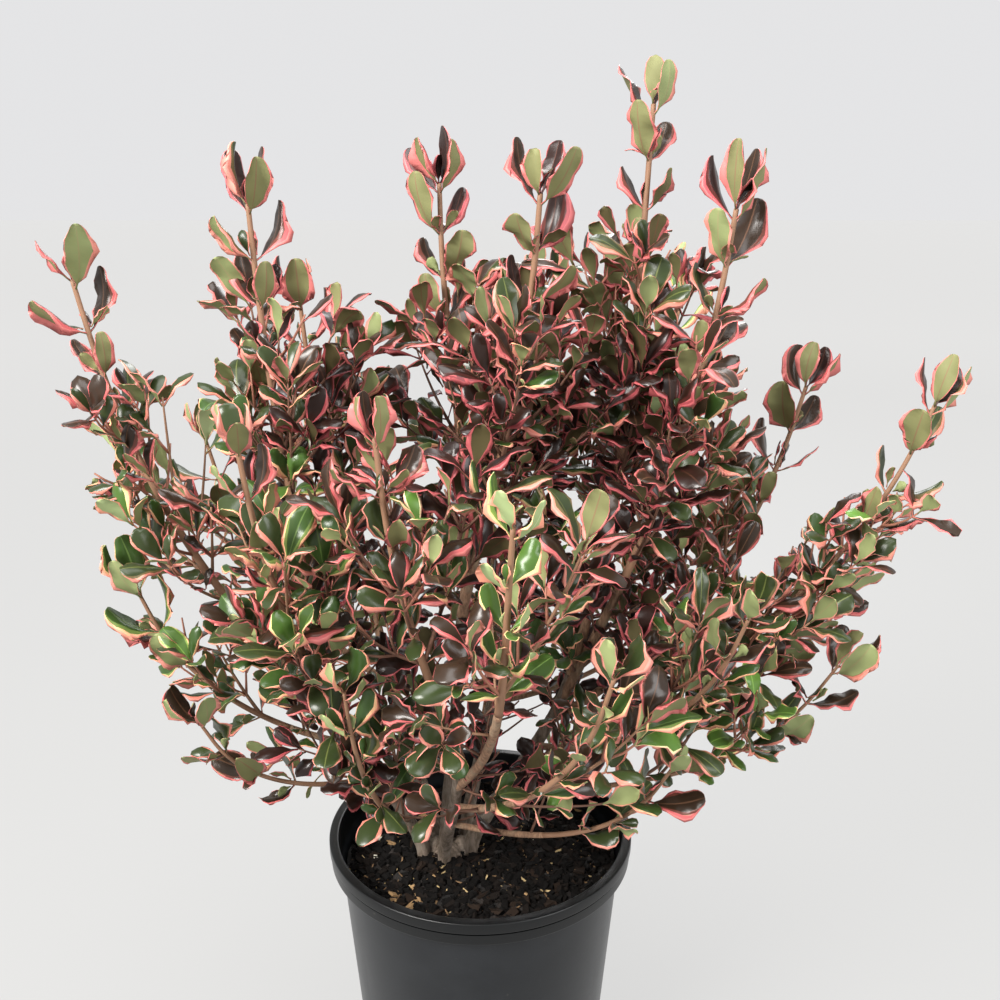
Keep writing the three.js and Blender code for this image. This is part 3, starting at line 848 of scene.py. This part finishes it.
def make_boughs():
    """The bare part of each shoot, in smoother and warmer young bark."""
    batch = Batch()
    for seed, (shoot, bough) in enumerate(zip(SHOOTS, BOUGHS)):
        rings = max(int(bough.length / BOUGH_RING_SPACING), 12)
        vigour = vigour_of(shoot)

        def radius_at(share, vigour=vigour):
            return vigour * between(*BOUGH_RADII, share)

        relief = bark_relief(0.00028 * vigour, seed)
        add_tube(batch, bough, radius_at, sides=14, rings=rings, relief=relief)
    nodes = [f"bough_{shoot.name}" for shoot in SHOOTS]
    bark = bark_finish("bough_bark", 0x6E523F, 0x96755B, 0x84745F, 1.3)
    batch.piece("boughs", [bark], nodes)


# Space in the crown

LEADER_MARKS = np.linspace(0, 1, 24)
LEADER_SPOTS = np.concatenate([leader.spots(LEADER_MARKS) for leader in LEADERS])
LEADER_OWNERS = np.repeat(np.arange(len(LEADERS)), len(LEADER_MARKS))


def clear_of_pot(place):
    radius = math.hypot(place.x, place.y)
    if place.z > POT_HEIGHT + POT_CLEAR or radius > RIM_RADIUS + POT_CLEAR:
        return True
    return radius < RIM_INNER_RADIUS - 2 * POT_CLEAR and place.z > MIX_LEVEL + POT_CLEAR


def underside(place):
    """The height of the crown's underside over a place."""
    azimuth = math.atan2(place.y, place.x)
    height = SKIRT["height"] + SKIRT["front"] * max(-math.sin(azimuth), 0) ** 2
    rise = SKIRT["rise"] - SKIRT["left"] * math.cos(azimuth)
    return max(height + rise * (math.hypot(place.x, place.y) - SKIRT["radius"]), SKIRT["least"])


def in_crown(place, own, beyond):
    """Whether a place lies within the crown's outline, and the reach of its own shoot."""
    radius = math.hypot(place.x, place.y)
    reach = max(SHOOTS[own].reach, LEAST_REACH) + beyond
    lowest = max(LEADERS[own].points[0][2] - HANG_BELOW - beyond, underside(place) - beyond)
    return radius < reach and place.z > lowest


def in_open(place):
    """Whether a place lies where the front of the crown is open."""
    share = CAMERA_PLACE.y / (CAMERA_PLACE.y - place.y)
    across = CAMERA_PLACE.x + (place.x - CAMERA_PLACE.x) * share
    up = CAMERA_PLACE.z + (place.z - CAMERA_PLACE.z) * share
    return any(math.hypot(across - x, up - z) < radius for x, z, radius in OPEN_PLACES)


def has_room(place, own):
    """Whether a twig of a shoot may reach a place: its own leader is about the nearest one there."""
    if not clear_of_pot(place) or not in_crown(place, own, -TWIG_INSIDE) or in_open(place):
        return False
    distances = np.linalg.norm(LEADER_SPOTS - np.array(place), axis=1)
    ours = LEADER_OWNERS == own
    return distances[ours].min() < distances[~ours].min() * NEIGHBOUR_SHARE


class Crowd:
    """The places that leaves fill, so that no two leaves lie in each other."""

    def __init__(self, apart):
        self.apart = apart
        self.cells = defaultdict(list)

    def cell(self, place):
        return tuple(int(part // self.apart) for part in place)

    def free(self, places):
        for place in places:
            around = product(*[(part - 1, part, part + 1) for part in self.cell(place)])
            near = [other for cell in around for other in self.cells.get(cell, ())]
            if any((place - other).length < self.apart for other in near):
                return False
        return True

    def fill(self, places):
        for place in places:
            self.cells[self.cell(place)].append(place)


# Growth

# A leaf whose curl is 1 bends in towards its shoot.
Leaf = namedtuple("Leaf", "foot along across upper length tint curl")
Twig = namedtuple("Twig", "path radii finish rings sides")
# What the leaves of a spray share. Those of a low spray may hang below the crown's underside.
Spray = namedtuple("Spray", "own tint draw low curl", defaults=[False, 0])
leaves = defaultdict(list)
twigs = defaultdict(list)
crowd = Crowd(CROWDING)

# The last twig finish is painted shade, for twigs deep in the crown.
YOUNG, TAN, SHADED_TWIG = range(3)
TINT_NAMES = [tint.name for tint in TINTS]
DARK_AND_SHADED, NIGHT, GREEN, FRESH = (TINT_NAMES.index(name) for name in ("dark_and_shaded", "night", "green", "fresh"))
# A spray deep in the crown mostly takes the darkest tint, which paints the shade there, and here and there
# one is green.
SHADE_RADIUS = 0.124
SHADE_SHARE = 0.72
GREEN_SHARE = 0.065
GREEN_HEIGHT = 0.50
LEAF_TINT_SPREAD = 0.8


def deep(place):
    """Whether a place lies deep in the crown, where leaves and twigs get painted shade."""
    return math.hypot(place.x, place.y) < SHADE_RADIUS and place.z < GREEN_HEIGHT


def spray_tint(place, draw):
    """The tint of a spray: the lower it grows and the nearer the front and the left, the greener it is."""
    spread = draw() + draw() - 1
    chance = draw()
    # Painted shade: most sprays deep in the crown take the darkest tint.
    if deep(place) and chance < SHADE_SHARE:
        return DARK_AND_SHADED
    if place.z < GREEN_HEIGHT and chance > 1 - GREEN_SHARE:
        return GREEN
    low = between(1, 0, (place.z - 0.24) / 0.30)
    high = between(0, 1, (place.z - 0.48) / 0.12)
    front = between(0, 1, 0.5 - place.y / 0.30)
    left = between(0, 1, -place.x / 0.20)
    fresh = low * (0.42 + 0.34 * front + 0.60 * left)
    middle = 0.28 - 0.11 * high + 0.24 * fresh
    variety = 0.20 - 0.06 * high + 0.12 * fresh
    return between(NIGHT, FRESH, middle + variety * spread)


def leaf_tint(tint, draw):
    """The tint of one leaf, near the tint of its spray."""
    return round(min(max(tint + about(draw, 0, LEAF_TINT_SPREAD), DARK_AND_SHADED), FRESH))


LIGHT_PULL = 0.4
# A leaf needs room at its middle and near its end, at these shares of its length.
LEAF_MIDDLE = 0.55
LEAF_END = 0.9


def add_leaf(spray, foot, axis, outward, angle, length):
    """A leaf that leaves its twig at an angle, its upper face to the twig and a little to the light."""
    along = turned_from(axis, outward, angle)
    upper = axis * math.sin(angle) - outward * math.cos(angle) + UP * LIGHT_PULL
    upper = (upper - along * upper.dot(along)).normalized()
    middle = foot + along * length * LEAF_MIDDLE
    end = foot + along * length * LEAF_END
    if not (clear_of_pot(middle) and clear_of_pot(end) and crowd.free((middle, end))):
        return
    if not spray.low and not in_crown(end, spray.own, LEAF_BEYOND):
        return
    if not spray.curl and (in_open(middle) or in_open(end)):
        return
    crowd.fill((middle, end))
    tint = leaf_tint(spray.tint, spray.draw)
    leaves[spray.own].append(Leaf(foot, along, along.cross(upper), upper, length, tint, spray.curl))


PAIR_ANGLE_SPREAD = math.radians(12)
PAIR_LENGTH_SPREAD = 0.16


def add_pair(spray, path, share, turn, angle, length):
    """Two opposite leaves on a twig. Their angle is in degrees."""
    foot = path.at(share)
    axis = path.heading(share)
    for outward in both_sides(axis, turn):
        spread = about(spray.draw, math.radians(angle), PAIR_ANGLE_SPREAD)
        grown = about(spray.draw, length, length * PAIR_LENGTH_SPREAD)
        add_leaf(spray, foot, axis, outward, spread, grown)


def grow_tuft(spray, foot, axis, outward, length):
    """A few small leaves in the fork of a leaf."""
    heading = (axis * 0.8 + outward * 0.6).normalized()
    stub = Path([foot, foot + heading * 0.004])
    turn = spray.draw() * math.pi
    add_pair(spray, stub, 1, turn, 34, about(spray.draw, length, 0.003))


# The pairs at a shoot's top: how far below its tip, their angle and their length.
TOP_PAIRS = [
    (0, 8, 0.017),
    (0.001, 38, 0.034),
    (0.006, 54, 0.039),
    (0.031, 62, 0.040),
    (0.058, 58, 0.036),
    (0.082, 60, 0.031),
]
TOP_ZONE = 0.094
TOP_TUFT = 0.014
# The front's top leaves are smaller, down to this share of the others.
FRONT_TOPS = {"size": 0.74, "reach": 0.16}
SHOOT_TOPS = {"top": 0.82, "right_high": 1.08}
OTHER_TOPS = 0.95


def grow_top(spray, tip, turn):
    """The upright leaves at a shoot's top, with tufts in the forks of the lower ones."""
    upright = spray._replace(curl=1)
    size = between(FRONT_TOPS["size"], 1, 1 + tip.at(1).y / FRONT_TOPS["reach"])
    size *= SHOOT_TOPS.get(SHOOTS[spray.own].name, OTHER_TOPS)
    for order, (below, angle, length) in enumerate(TOP_PAIRS):
        share = 1 - below / tip.length
        pair_turn = turn + order * math.pi / 2
        add_pair(upright, tip, share, pair_turn, angle, length * size)
        if below > TOP_TUFT:
            axis = tip.heading(share)
            for outward in both_sides(axis, pair_turn):
                grow_tuft(spray, tip.at(share), axis, outward, TOP_TUFT)


# A twig is thicker at its foot the longer it is, and its end leaves are longer.
TWIG_FOOT_RADII = (0.0008, 0.0014)
TWIG_TIP_RADIUS = 0.00055
THICK_TWIG = 0.08
TAN_TWIG = 0.05
TWIG_RING_SPACING = 0.006
# The pairs at its end: how far below its tip, as a share of their length, their angle and their size.
END_PAIRS = [(0.0, 20, 0.9), (0.16, 42, 1.0)]
END_LENGTHS = (0.021, 0.031)
LONG_END_TWIG = 0.06
# The pairs below its end, which get shorter towards its foot.
PAIR_SPACING = 0.0145
PAIR_ANGLE = 54
PAIR_LENGTHS = (0.020, 0.027)
# The forks of the lower pairs hold a shorter twig or a tuft, or they stay bare.
FORKED_TWIG = 0.034
FORKED_PART = 0.75
FORK_SHARE = 0.55
FORK_LENGTH = (0.024, 0.009)
TUFT_SHARE = 0.35
TUFT_LENGTH = 0.0115


def twig_finish(foot, length, order):
    # Twigs deep in the crown take the darkest bark, as painted shade.
    if deep(foot):
        return SHADED_TWIG
    return TAN if order == 1 and length > TAN_TWIG else YOUNG


def grow_twig(own, foot, axis, outward, angle, length, draw, order=1):
    """A side twig with its pairs of leaves, tufts and shorter twigs, if it finds room."""
    set_off = turned_from(axis, outward, angle)
    lifted = (set_off + UP * TWIG_LIFT).normalized()
    for trial in TWIG_TRIALS:
        tried = length * trial
        if tried < TWIG_LEAST and trial < 1:
            return False
        bend = foot + set_off * tried / 2
        tip = bend + lifted * tried / 2
        if has_room(tip, own) and has_room(bend, own):
            break
    else:
        return False
    path = bezier(foot, bend, tip, steps=12)
    radii = (between(*TWIG_FOOT_RADII, tried / THICK_TWIG), TWIG_TIP_RADIUS)
    add_twig(own, path, radii, twig_finish(foot, tried, order), max(int(tried / TWIG_RING_SPACING), 3), 5)
    spray = Spray(own, spray_tint(tip, draw), draw)
    turn = draw() * math.pi
    end_length = about(draw, between(*END_LENGTHS, tried / LONG_END_TWIG), 0.003)
    for pair, (below, pair_angle, size) in enumerate(END_PAIRS):
        share = 1 - below * end_length / tried
        add_pair(spray, path, share, turn + pair * math.pi / 2, pair_angle, end_length * size)
    nodes = int(tried / PAIR_SPACING)
    for node in range(1, nodes):
        share = node / nodes
        turn += math.pi / 2
        size = between(*PAIR_LENGTHS, share) * about(draw, 1, 0.15)
        add_pair(spray, path, share, turn, PAIR_ANGLE, size)
        forks = order == 1 and tried > FORKED_TWIG and share < FORKED_PART
        fork = path.at(share)
        heading = path.heading(share)
        for out in both_sides(heading, turn):
            if forks and draw() < FORK_SHARE:
                grow_twig(own, fork, heading, out, TWIG_ANGLE, about(draw, *FORK_LENGTH), draw, 2)
            elif draw() < TUFT_SHARE:
                grow_tuft(spray, fork, heading, out, TUFT_LENGTH)
    return True


LEADER_RING_SPACING = 0.0034
# The leaves along a leader are shorter away from its top zone.
LEADER_LEAF_LENGTHS = (0.031, 0.024)
LEADER_LEAF_ANGLE = math.radians(62)
LEADER_TUFT_LENGTH = 0.0125


def grow_shoot(own, shoot, leader):
    """A shoot's leader with its pairs of leaves and twigs, by the solids' own draws."""
    solid_draw = seeded_random(SEED * 1000 + own)
    draw = seeded_random(SEED * 3000 + own)
    tip = Path(np.concatenate((leader.points, [leader.at(1) + leader.heading(1) * TIP_BEYOND])))
    radii = [radius * vigour_of(shoot) for radius in LEADER_RADII]
    add_twig(own, tip, radii, TAN, int(tip.length / LEADER_RING_SPACING), 8)
    spray = Spray(own, spray_tint(leader.at(0.9), draw), draw)
    grow_top(spray, tip, solid_draw())
    solid_draw()
    pairs = max(2, int(leader.length / TWIG_SPACING))
    turn = solid_draw() * math.pi
    for pair in range(1, pairs):
        share = pair / pairs
        below_top = (1 - share) * leader.length + TIP_BEYOND - TOP_ZONE
        foot = leader.at(share)
        axis = leader.heading(share)
        turn += math.pi / 2 + (solid_draw() - 0.5) * TWIG_TURN_SPREAD
        for outward in both_sides(axis, turn):
            vigour = about(solid_draw, 1, TWIG_LENGTH_SPREAD)
            angle = about(solid_draw, TWIG_ANGLE, TWIG_ANGLE_SPREAD)
            length = (TWIG_SHORTEST + TWIG_LONGEST * (1 - share) ** TWIG_FADE) * vigour
            if below_top < 0:
                continue
            size = about(draw, between(*LEADER_LEAF_LENGTHS, below_top / 0.1), 0.004)
            leaf_angle = about(draw, LEADER_LEAF_ANGLE, math.radians(10))
            add_leaf(spray, foot, axis, outward, leaf_angle, size)
            if not grow_twig(own, foot, axis, outward, angle, length, draw):
                grow_tuft(spray, foot, axis, outward, LEADER_TUFT_LENGTH)


# Sprouts are short leafy twigs on the bare limbs. Where they start along a limb, how far apart its nodes are
# and how likely each side of a node carries one.
Sprouts = namedtuple("Sprouts", "start spacing likely")
STEM_SPROUTS = Sprouts(0.36, 0.016, 0.45)
HIGH_SPROUTS = Sprouts(0.15, 0.015, 0.55)
LOW_SPROUTS = Sprouts(0.15, 0.015, 0.8)
LOW_BOUGH = 0.42
SPROUT_ANGLE = math.radians(56)
SPROUT_ANGLE_SPREAD = math.radians(16)
SPROUT_LENGTH = (0.044, 0.018)
SPROUT_LIFT = 0.15
SPROUT_DROP = 0.008
SPROUT_RADII = (0.0009, 0.00055)
# Some sprouts grow below the crown's underside over the pot, with their end leaves alone.
LOW_SHARE = 0.8
LOW_CLEAR = 0.020
LOW_REACH = 0.172
# The pairs on a sprout: share of its length, angle and length.
SPROUT_PAIRS = [(1, 24, 0.023), (0.9, 44, 0.025), (0.68, 56, 0.022), (0.44, 58, 0.019), (0.24, 60, 0.015)]
END_SPROUT_PAIRS = SPROUT_PAIRS[:2]


def may_hang(tip, draw):
    """Whether a sprout may grow below the crown's underside."""
    if draw() > LOW_SHARE:
        return False
    return tip.z >= MIX_LEVEL + LOW_CLEAR and math.hypot(tip.x, tip.y) <= LOW_REACH


def grow_sprout(own, foot, axis, outward, length, draw):
    angle = about(draw, SPROUT_ANGLE, SPROUT_ANGLE_SPREAD)
    set_off = turned_from(axis, outward, angle)
    tip = foot + set_off * length
    if not clear_of_pot(tip) or tip.z < foot.z - SPROUT_DROP:
        return
    low = tip.z < underside(tip)
    if low and not may_hang(tip, draw):
        return
    path = bezier(foot, foot + set_off * length / 2, tip + UP * length * SPROUT_LIFT, steps=10)
    # A sprout deep in the crown takes the darkest bark, as painted shade.
    add_twig(own, path, SPROUT_RADII, SHADED_TWIG if deep(foot) else TAN, 5, 5)
    spray = Spray(own, spray_tint(tip, draw), draw, low)
    turn = draw() * math.pi
    for share, pair_angle, size in END_SPROUT_PAIRS if low else SPROUT_PAIRS:
        add_pair(spray, path, share, turn, pair_angle, size)
        turn += math.pi / 2


def grow_sprouts(own, limb, sprouts, draw):
    """The sprouts of a bare limb inside the crown."""
    count = int(limb.length * (1 - sprouts.start) / sprouts.spacing)
    turn = draw() * math.pi
    for step in range(count):
        share = sprouts.start + (1 - sprouts.start) * (step + 0.5) / count
        axis = limb.heading(share)
        turn += math.pi / 2 + about(draw, 0, 0.4)
        for outward in both_sides(axis, turn):
            if draw() < sprouts.likely:
                grow_sprout(own, limb.at(share), axis, outward, about(draw, *SPROUT_LENGTH), draw)


def add_twig(own, path, radii, finish, rings, sides):
    twigs[SHOOTS[own].stem].append(Twig(path, radii, finish, rings, sides))


def grow_crown():
    """All leaves and twigs: the shoots' first, then the sprouts that fill the room left."""
    for own, (shoot, leader) in enumerate(zip(SHOOTS, LEADERS)):
        grow_shoot(own, shoot, leader)
    for own, (shoot, bough) in enumerate(zip(SHOOTS, BOUGHS)):
        sprouts = LOW_SPROUTS if shoot.height < LOW_BOUGH else HIGH_SPROUTS
        grow_sprouts(own, bough, sprouts, seeded_random(SEED * 5000 + own))
    stems = [shoot.stem for shoot in SHOOTS]
    for number, (name, path) in enumerate(STEM_PATHS.items()):
        grow_sprouts(stems.index(name), path, STEM_SPROUTS, seeded_random(SEED * 7000 + number))


# Leaves

LEAF_WIDTH = 0.24
STALK_SHARE = 0.13
STALK_WIDTH = 0.02
LEAF_THICKNESS = 0.00042
LEAF_ROOT = 0.0003

# Columns across a leaf as shares of its half width, with the part of the leaf between each two of them.
Grade = namedtuple("Grade", "stations face_columns face_parts back_columns back_parts")
LARGE = Grade(
    (0.0, 0.13, 0.24, 0.36, 0.48, 0.60, 0.71, 0.81, 0.90, 0.96, 0.992),
    (-1, -0.91, -0.83, -0.68, -0.05, 0.05, 0.68, 0.83, 0.91, 1),
    ("edge", "margin", "flush", "face", "rib", "face", "flush", "margin", "edge"),
    (-1, -0.80, -0.05, 0.05, 0.80, 1),
    ("edge", "back", "back_rib", "back", "edge"),
)
MIDDLE = Grade(
    (0.0, 0.15, 0.32, 0.50, 0.68, 0.84, 0.95),
    (-1, -0.89, -0.77, 0, 0.77, 0.89, 1),
    ("edge", "margin", "face", "face", "margin", "edge"),
    (-1, -0.80, 0, 0.80, 1),
    ("edge", "back", "back", "edge"),
)
SMALL = Grade(
    (0.0, 0.2, 0.45, 0.7, 0.9),
    (-1, -0.8, 0, 0.8, 1),
    ("edge", "face", "face", "edge"),
    (-1, 0, 1),
    ("back", "back"),
)
LARGE_FROM = 0.0285
MIDDLE_FROM = 0.0135


def grade_of(leaf):
    if leaf.length >= LARGE_FROM:
        return LARGE
    return MIDDLE if leaf.length >= MIDDLE_FROM else SMALL


def leaf_pattern(grade):
    """The triangles of one leaf, and which part of the leaf each shows."""
    rows = len(grade.stations)
    face = len(grade.face_columns)
    back = len(grade.back_columns)
    row_size = face + back - 2
    root = rows * row_size
    tip = root + 1

    def face_at(row, column):
        return row * row_size + column

    def back_at(row, column):
        if column in (0, back - 1):
            return face_at(row, 0 if column == 0 else face - 1)
        return row * row_size + face + column - 1

    triangles = []
    parts = []
    for at, names, flip in ((face_at, grade.face_parts, 1), (back_at, grade.back_parts, -1)):
        for column, name in enumerate(names):
            strip = [(root, at(0, column + 1), at(0, column))]
            strip.append((at(rows - 1, column), at(rows - 1, column + 1), tip))
            for row in range(rows - 1):
                near = at(row, column)
                far = at(row + 1, column + 1)
                strip += [(near, at(row, column + 1), far), (near, far, at(row + 1, column))]
            triangles += [triangle[::flip] for triangle in strip]
            parts += [LEAF_PARTS.index(name)] * len(strip)
    return np.array(triangles), np.array(parts)


RULER_STEPS = 24


def leaf_points(grade, grown, rng):
    """The points of many leaves of one grade: each arches along its midrib, folds and waves at its edge."""
    count = len(grown)
    foot, along, across, upper = (
        np.array([leaf[i] for leaf in grown])[:, None, None, :] for i in range(4)
    )
    length = np.array([leaf.length for leaf in grown])[:, None]
    curl = np.array([leaf.curl for leaf in grown])[:, None]

    def each(low, high, *shape):
        """A random number for each leaf."""
        return rng.uniform(low, high, (count, 1, *shape))

    cup = each(0.1, 0.8) + 0.6 * curl
    recurve = each(0.5, 1.5) * (1 - 0.75 * curl)
    twist = rng.normal(0, 0.28, (count, 1))
    taper = each(1.0, 1.4)
    blunt = each(0.42, 0.72)
    width = rng.normal(1, 0.12, (count, 1)).clip(0.72, 1.3)
    fold = each(0.15, 0.65, 1)
    roll = each(0.35, 1.05, 1)
    wave = each(0.12, 0.38, 1)
    phase = each(0, 2 * math.pi, 2)
    bends = each(1.4, 2.6, 1)
    shoulder = each(0, 0.7) + 0.3 * curl
    # The margin is wider high in the crown.
    height = foot[:, 0, :, 2:]
    rim = each(0.5, 1.5, 1) * (0.8 + 0.45 * ((height - 0.28) / 0.25).clip(0, 1))

    # The midrib, walked from the foot on a fine ruler and read off at each row of points.
    ruler = np.linspace(0, 1, RULER_STEPS + 1)[None, :]
    slope = cup * ruler - recurve * ruler**2
    rows = np.array([*grade.stations, 1.0])
    mark = (rows * RULER_STEPS).astype(int).clip(0, RULER_STEPS - 1)
    rest = rows * RULER_STEPS - mark

    def walked(steps):
        way = np.concatenate((np.zeros((count, 1)), np.cumsum(steps[:, :-1] / RULER_STEPS, axis=1)), axis=1)
        return (way[:, mark] * (1 - rest) + way[:, mark + 1] * rest) * length

    ahead = walked(np.cos(slope))
    rise = walked(np.sin(slope))
    lean = cup * rows - recurve * rows**2

    # The blade widens from its stalk and closes in a round end. The more shoulder it has, the wider it is
    # at its middle and the narrower towards its end.
    blade = ((rows - STALK_SHARE) / (1 - STALK_SHARE)).clip(0, 1)
    widest = taper / (taper + blunt)
    spoon = blade**taper * (1 - blade) ** blunt / (widest**taper * (1 - widest) ** blunt)
    lobe = 0.62 * np.sqrt((1 - ((blade - 0.70) / 0.30) ** 2).clip(0, 1))
    spade = np.maximum(4 * blade * (1 - blade), lobe)
    swell = spoon + (spade - spoon) * shoulder
    half = (STALK_WIDTH + (LEAF_WIDTH - STALK_WIDTH) * swell) * length * width

    def surface(columns, back):
        """The points of the face or the back, column by column across the leaf."""
        t = rows[None, :, None]
        size = np.abs(columns)[None, None, :]
        size = np.where(size > 0.5, 1 - (1 - size) * rim * (1.2 - t**3), size)
        share = np.sign(columns)[None, None, :] * size
        side = np.where(share < 0, phase[:, :, :1], phase[:, :, 1:])
        ripple = np.sin(bends * 2 * math.pi * t + side) * (1 - t**4)
        body = half[:, :, None]
        broad = share * body * (1 + 0.5 * wave * np.cos(bends * 2.9 * t + side) * size**3)
        high = body * (fold * size - roll * size**3 + 1.3 * wave * ripple * size**2.5)
        if back:
            # Thick at the stalk, none at the rim, and a ridge along the midrib.
            thick = LEAF_THICKNESS * (1 + 1.2 * np.exp(-t / 0.12))
            high = high - thick * (1 - size**4) - 0.00025 * (size < 0.1)
        else:
            # The bounds between the parts of the face wander a little.
            broad = broad + share * body * rng.normal(0, 0.05, broad.shape) * (1 - 0.75 * size**8)
        turned = (twist * rows)[:, :, None]
        flat = broad * np.cos(turned) - high * np.sin(turned)
        tall = broad * np.sin(turned) + high * np.cos(turned)
        forward = ahead[:, :, None] - tall * np.sin(lean)[:, :, None]
        lifted = rise[:, :, None] + tall * np.cos(lean)[:, :, None]
        return foot + along * forward[..., None] + across * flat[..., None] + upper * lifted[..., None]

    face = surface(grade.face_columns, False)
    back = surface(grade.back_columns, True)[:, :, 1:-1]
    body = np.concatenate((face, back), axis=2)[:, :-1].reshape(count, -1, 3)
    root = (foot - along * LEAF_ROOT)[:, 0]
    tip = (foot + along * ahead[:, -1:, None, None] + upper * rise[:, -1:, None, None])[:, 0]
    return np.concatenate((body, root, tip), axis=1)


def make_leaves(name, grown, finishes, replaced, seed):
    """The leaves on one stem's shoots, joined."""
    rng = np.random.default_rng(seed)
    batch = Batch()
    for grade in (LARGE, MIDDLE, SMALL):
        chosen = [leaf for leaf in grown if grade_of(leaf) is grade]
        if not chosen:
            continue
        triangles, parts = leaf_pattern(grade)
        points = leaf_points(grade, chosen, rng)
        size = points.shape[1]
        offsets = (np.arange(len(chosen)) * size)[:, None, None]
        tints = np.array([leaf.tint for leaf in chosen])[:, None] * len(LEAF_PARTS)
        batch.add(points, triangles[None] + offsets, (tints + parts[None]).ravel())
    batch.piece(name, finishes, replaced)


def make_twigs(name, grown, finishes, replaced):
    """The leaders, twigs and sprouts on one stem's shoots, joined."""
    batch = Batch()
    for twig in grown:

        def radius_at(share, twig=twig):
            return between(*twig.radii, share)

        add_tube(batch, twig.path, radius_at, twig.sides, twig.rings, finish=twig.finish)
    batch.piece(name, finishes, replaced)


# The height above which a shoot counts as an upper one.
UPPER_SHOOTS = 0.53


def make_foliage():
    """The leaves of each stem's upper and lower shoots, and its twigs."""
    grow_crown()
    tints = leaf_finishes()
    barks = twig_finishes()
    for number, stem in enumerate(STEMS):
        mine = [own for own, shoot in enumerate(SHOOTS) if shoot.stem == stem]
        for tier, upper in (("upper", True), ("lower", False)):
            chosen = [own for own in mine if (SHOOTS[own].height > UPPER_SHOOTS) == upper]
            if chosen:
                grown = [leaf for own in chosen for leaf in leaves[own]]
                nodes = [f"foliage_{SHOOTS[own].name}" for own in chosen]
                make_leaves(f"leaves_{stem}_{tier}", grown, tints, nodes, SEED + 2 * number + upper)
        nodes = [f"foliage_{SHOOTS[own].name}" for own in mine]
        make_twigs(f"twigs_{stem}", twigs[stem], barks, nodes)


# Setting

FLOOR_REACH = 40


def make_floor():
    corners = [(-FLOOR_REACH, -FLOOR_REACH, 0), (FLOOR_REACH, -FLOOR_REACH, 0)]
    corners += [(FLOOR_REACH, FLOOR_REACH, 0), (-FLOOR_REACH, FLOOR_REACH, 0)]
    mesh = bpy.data.meshes.new("floor")
    mesh.from_pydata(corners, [], [(0, 1, 2, 3)])
    mesh.materials.append(floor_finish())
    new_object("floor", mesh)


def add_light(name, place, aim, size, power, tone=(1, 1, 1)):
    lamp = bpy.data.lights.new(name, "AREA")
    lamp.shape = "DISK"
    lamp.size = size
    lamp.energy = power
    lamp.color = tone
    light = new_object(name, lamp)
    light.location = place
    light.rotation_euler = (Vector(aim) - Vector(place)).to_track_quat("-Z", "Y").to_euler()


def set_studio():
    world = bpy.data.worlds.new("studio")
    world.use_nodes = True
    backdrop = world.node_tree.nodes["Background"]
    backdrop.inputs["Color"].default_value = (0.78, 0.78, 0.79, 1)
    backdrop.inputs["Strength"].default_value = 1
    bpy.context.scene.world = world
    middle = (0, 0, 0.35)
    add_light("key", (-1.25, -1.2, 1.6), middle, 1.0, 106, (1, 0.975, 0.94))
    add_light("fill", (1.5, -1.3, 1.0), middle, 1.2, 31)
    add_light("top", (0, -0.3, 3.0), middle, 2.4, 88)
    add_light("back", (0.4, 1.8, 1.6), middle, 1.0, 24)
    bpy.context.scene.view_settings.view_transform = "Standard"


def set_camera():
    lens = bpy.data.cameras.new("camera")
    lens.lens = CAMERA_LENS
    lens.sensor_width = CAMERA_SENSOR
    lens.clip_start = 0.01
    camera = new_object("camera", lens)
    camera.location = CAMERA_PLACE
    camera.rotation_euler = (math.pi / 2 - CAMERA_DOWN, 0, 0)
    bpy.context.scene.camera = camera


make_pot()
make_potting_mix()
make_mix_crumbs()
make_stems()
make_boughs()
make_foliage()
make_floor()
set_studio()
set_camera()

bpy.context.view_layer.update()
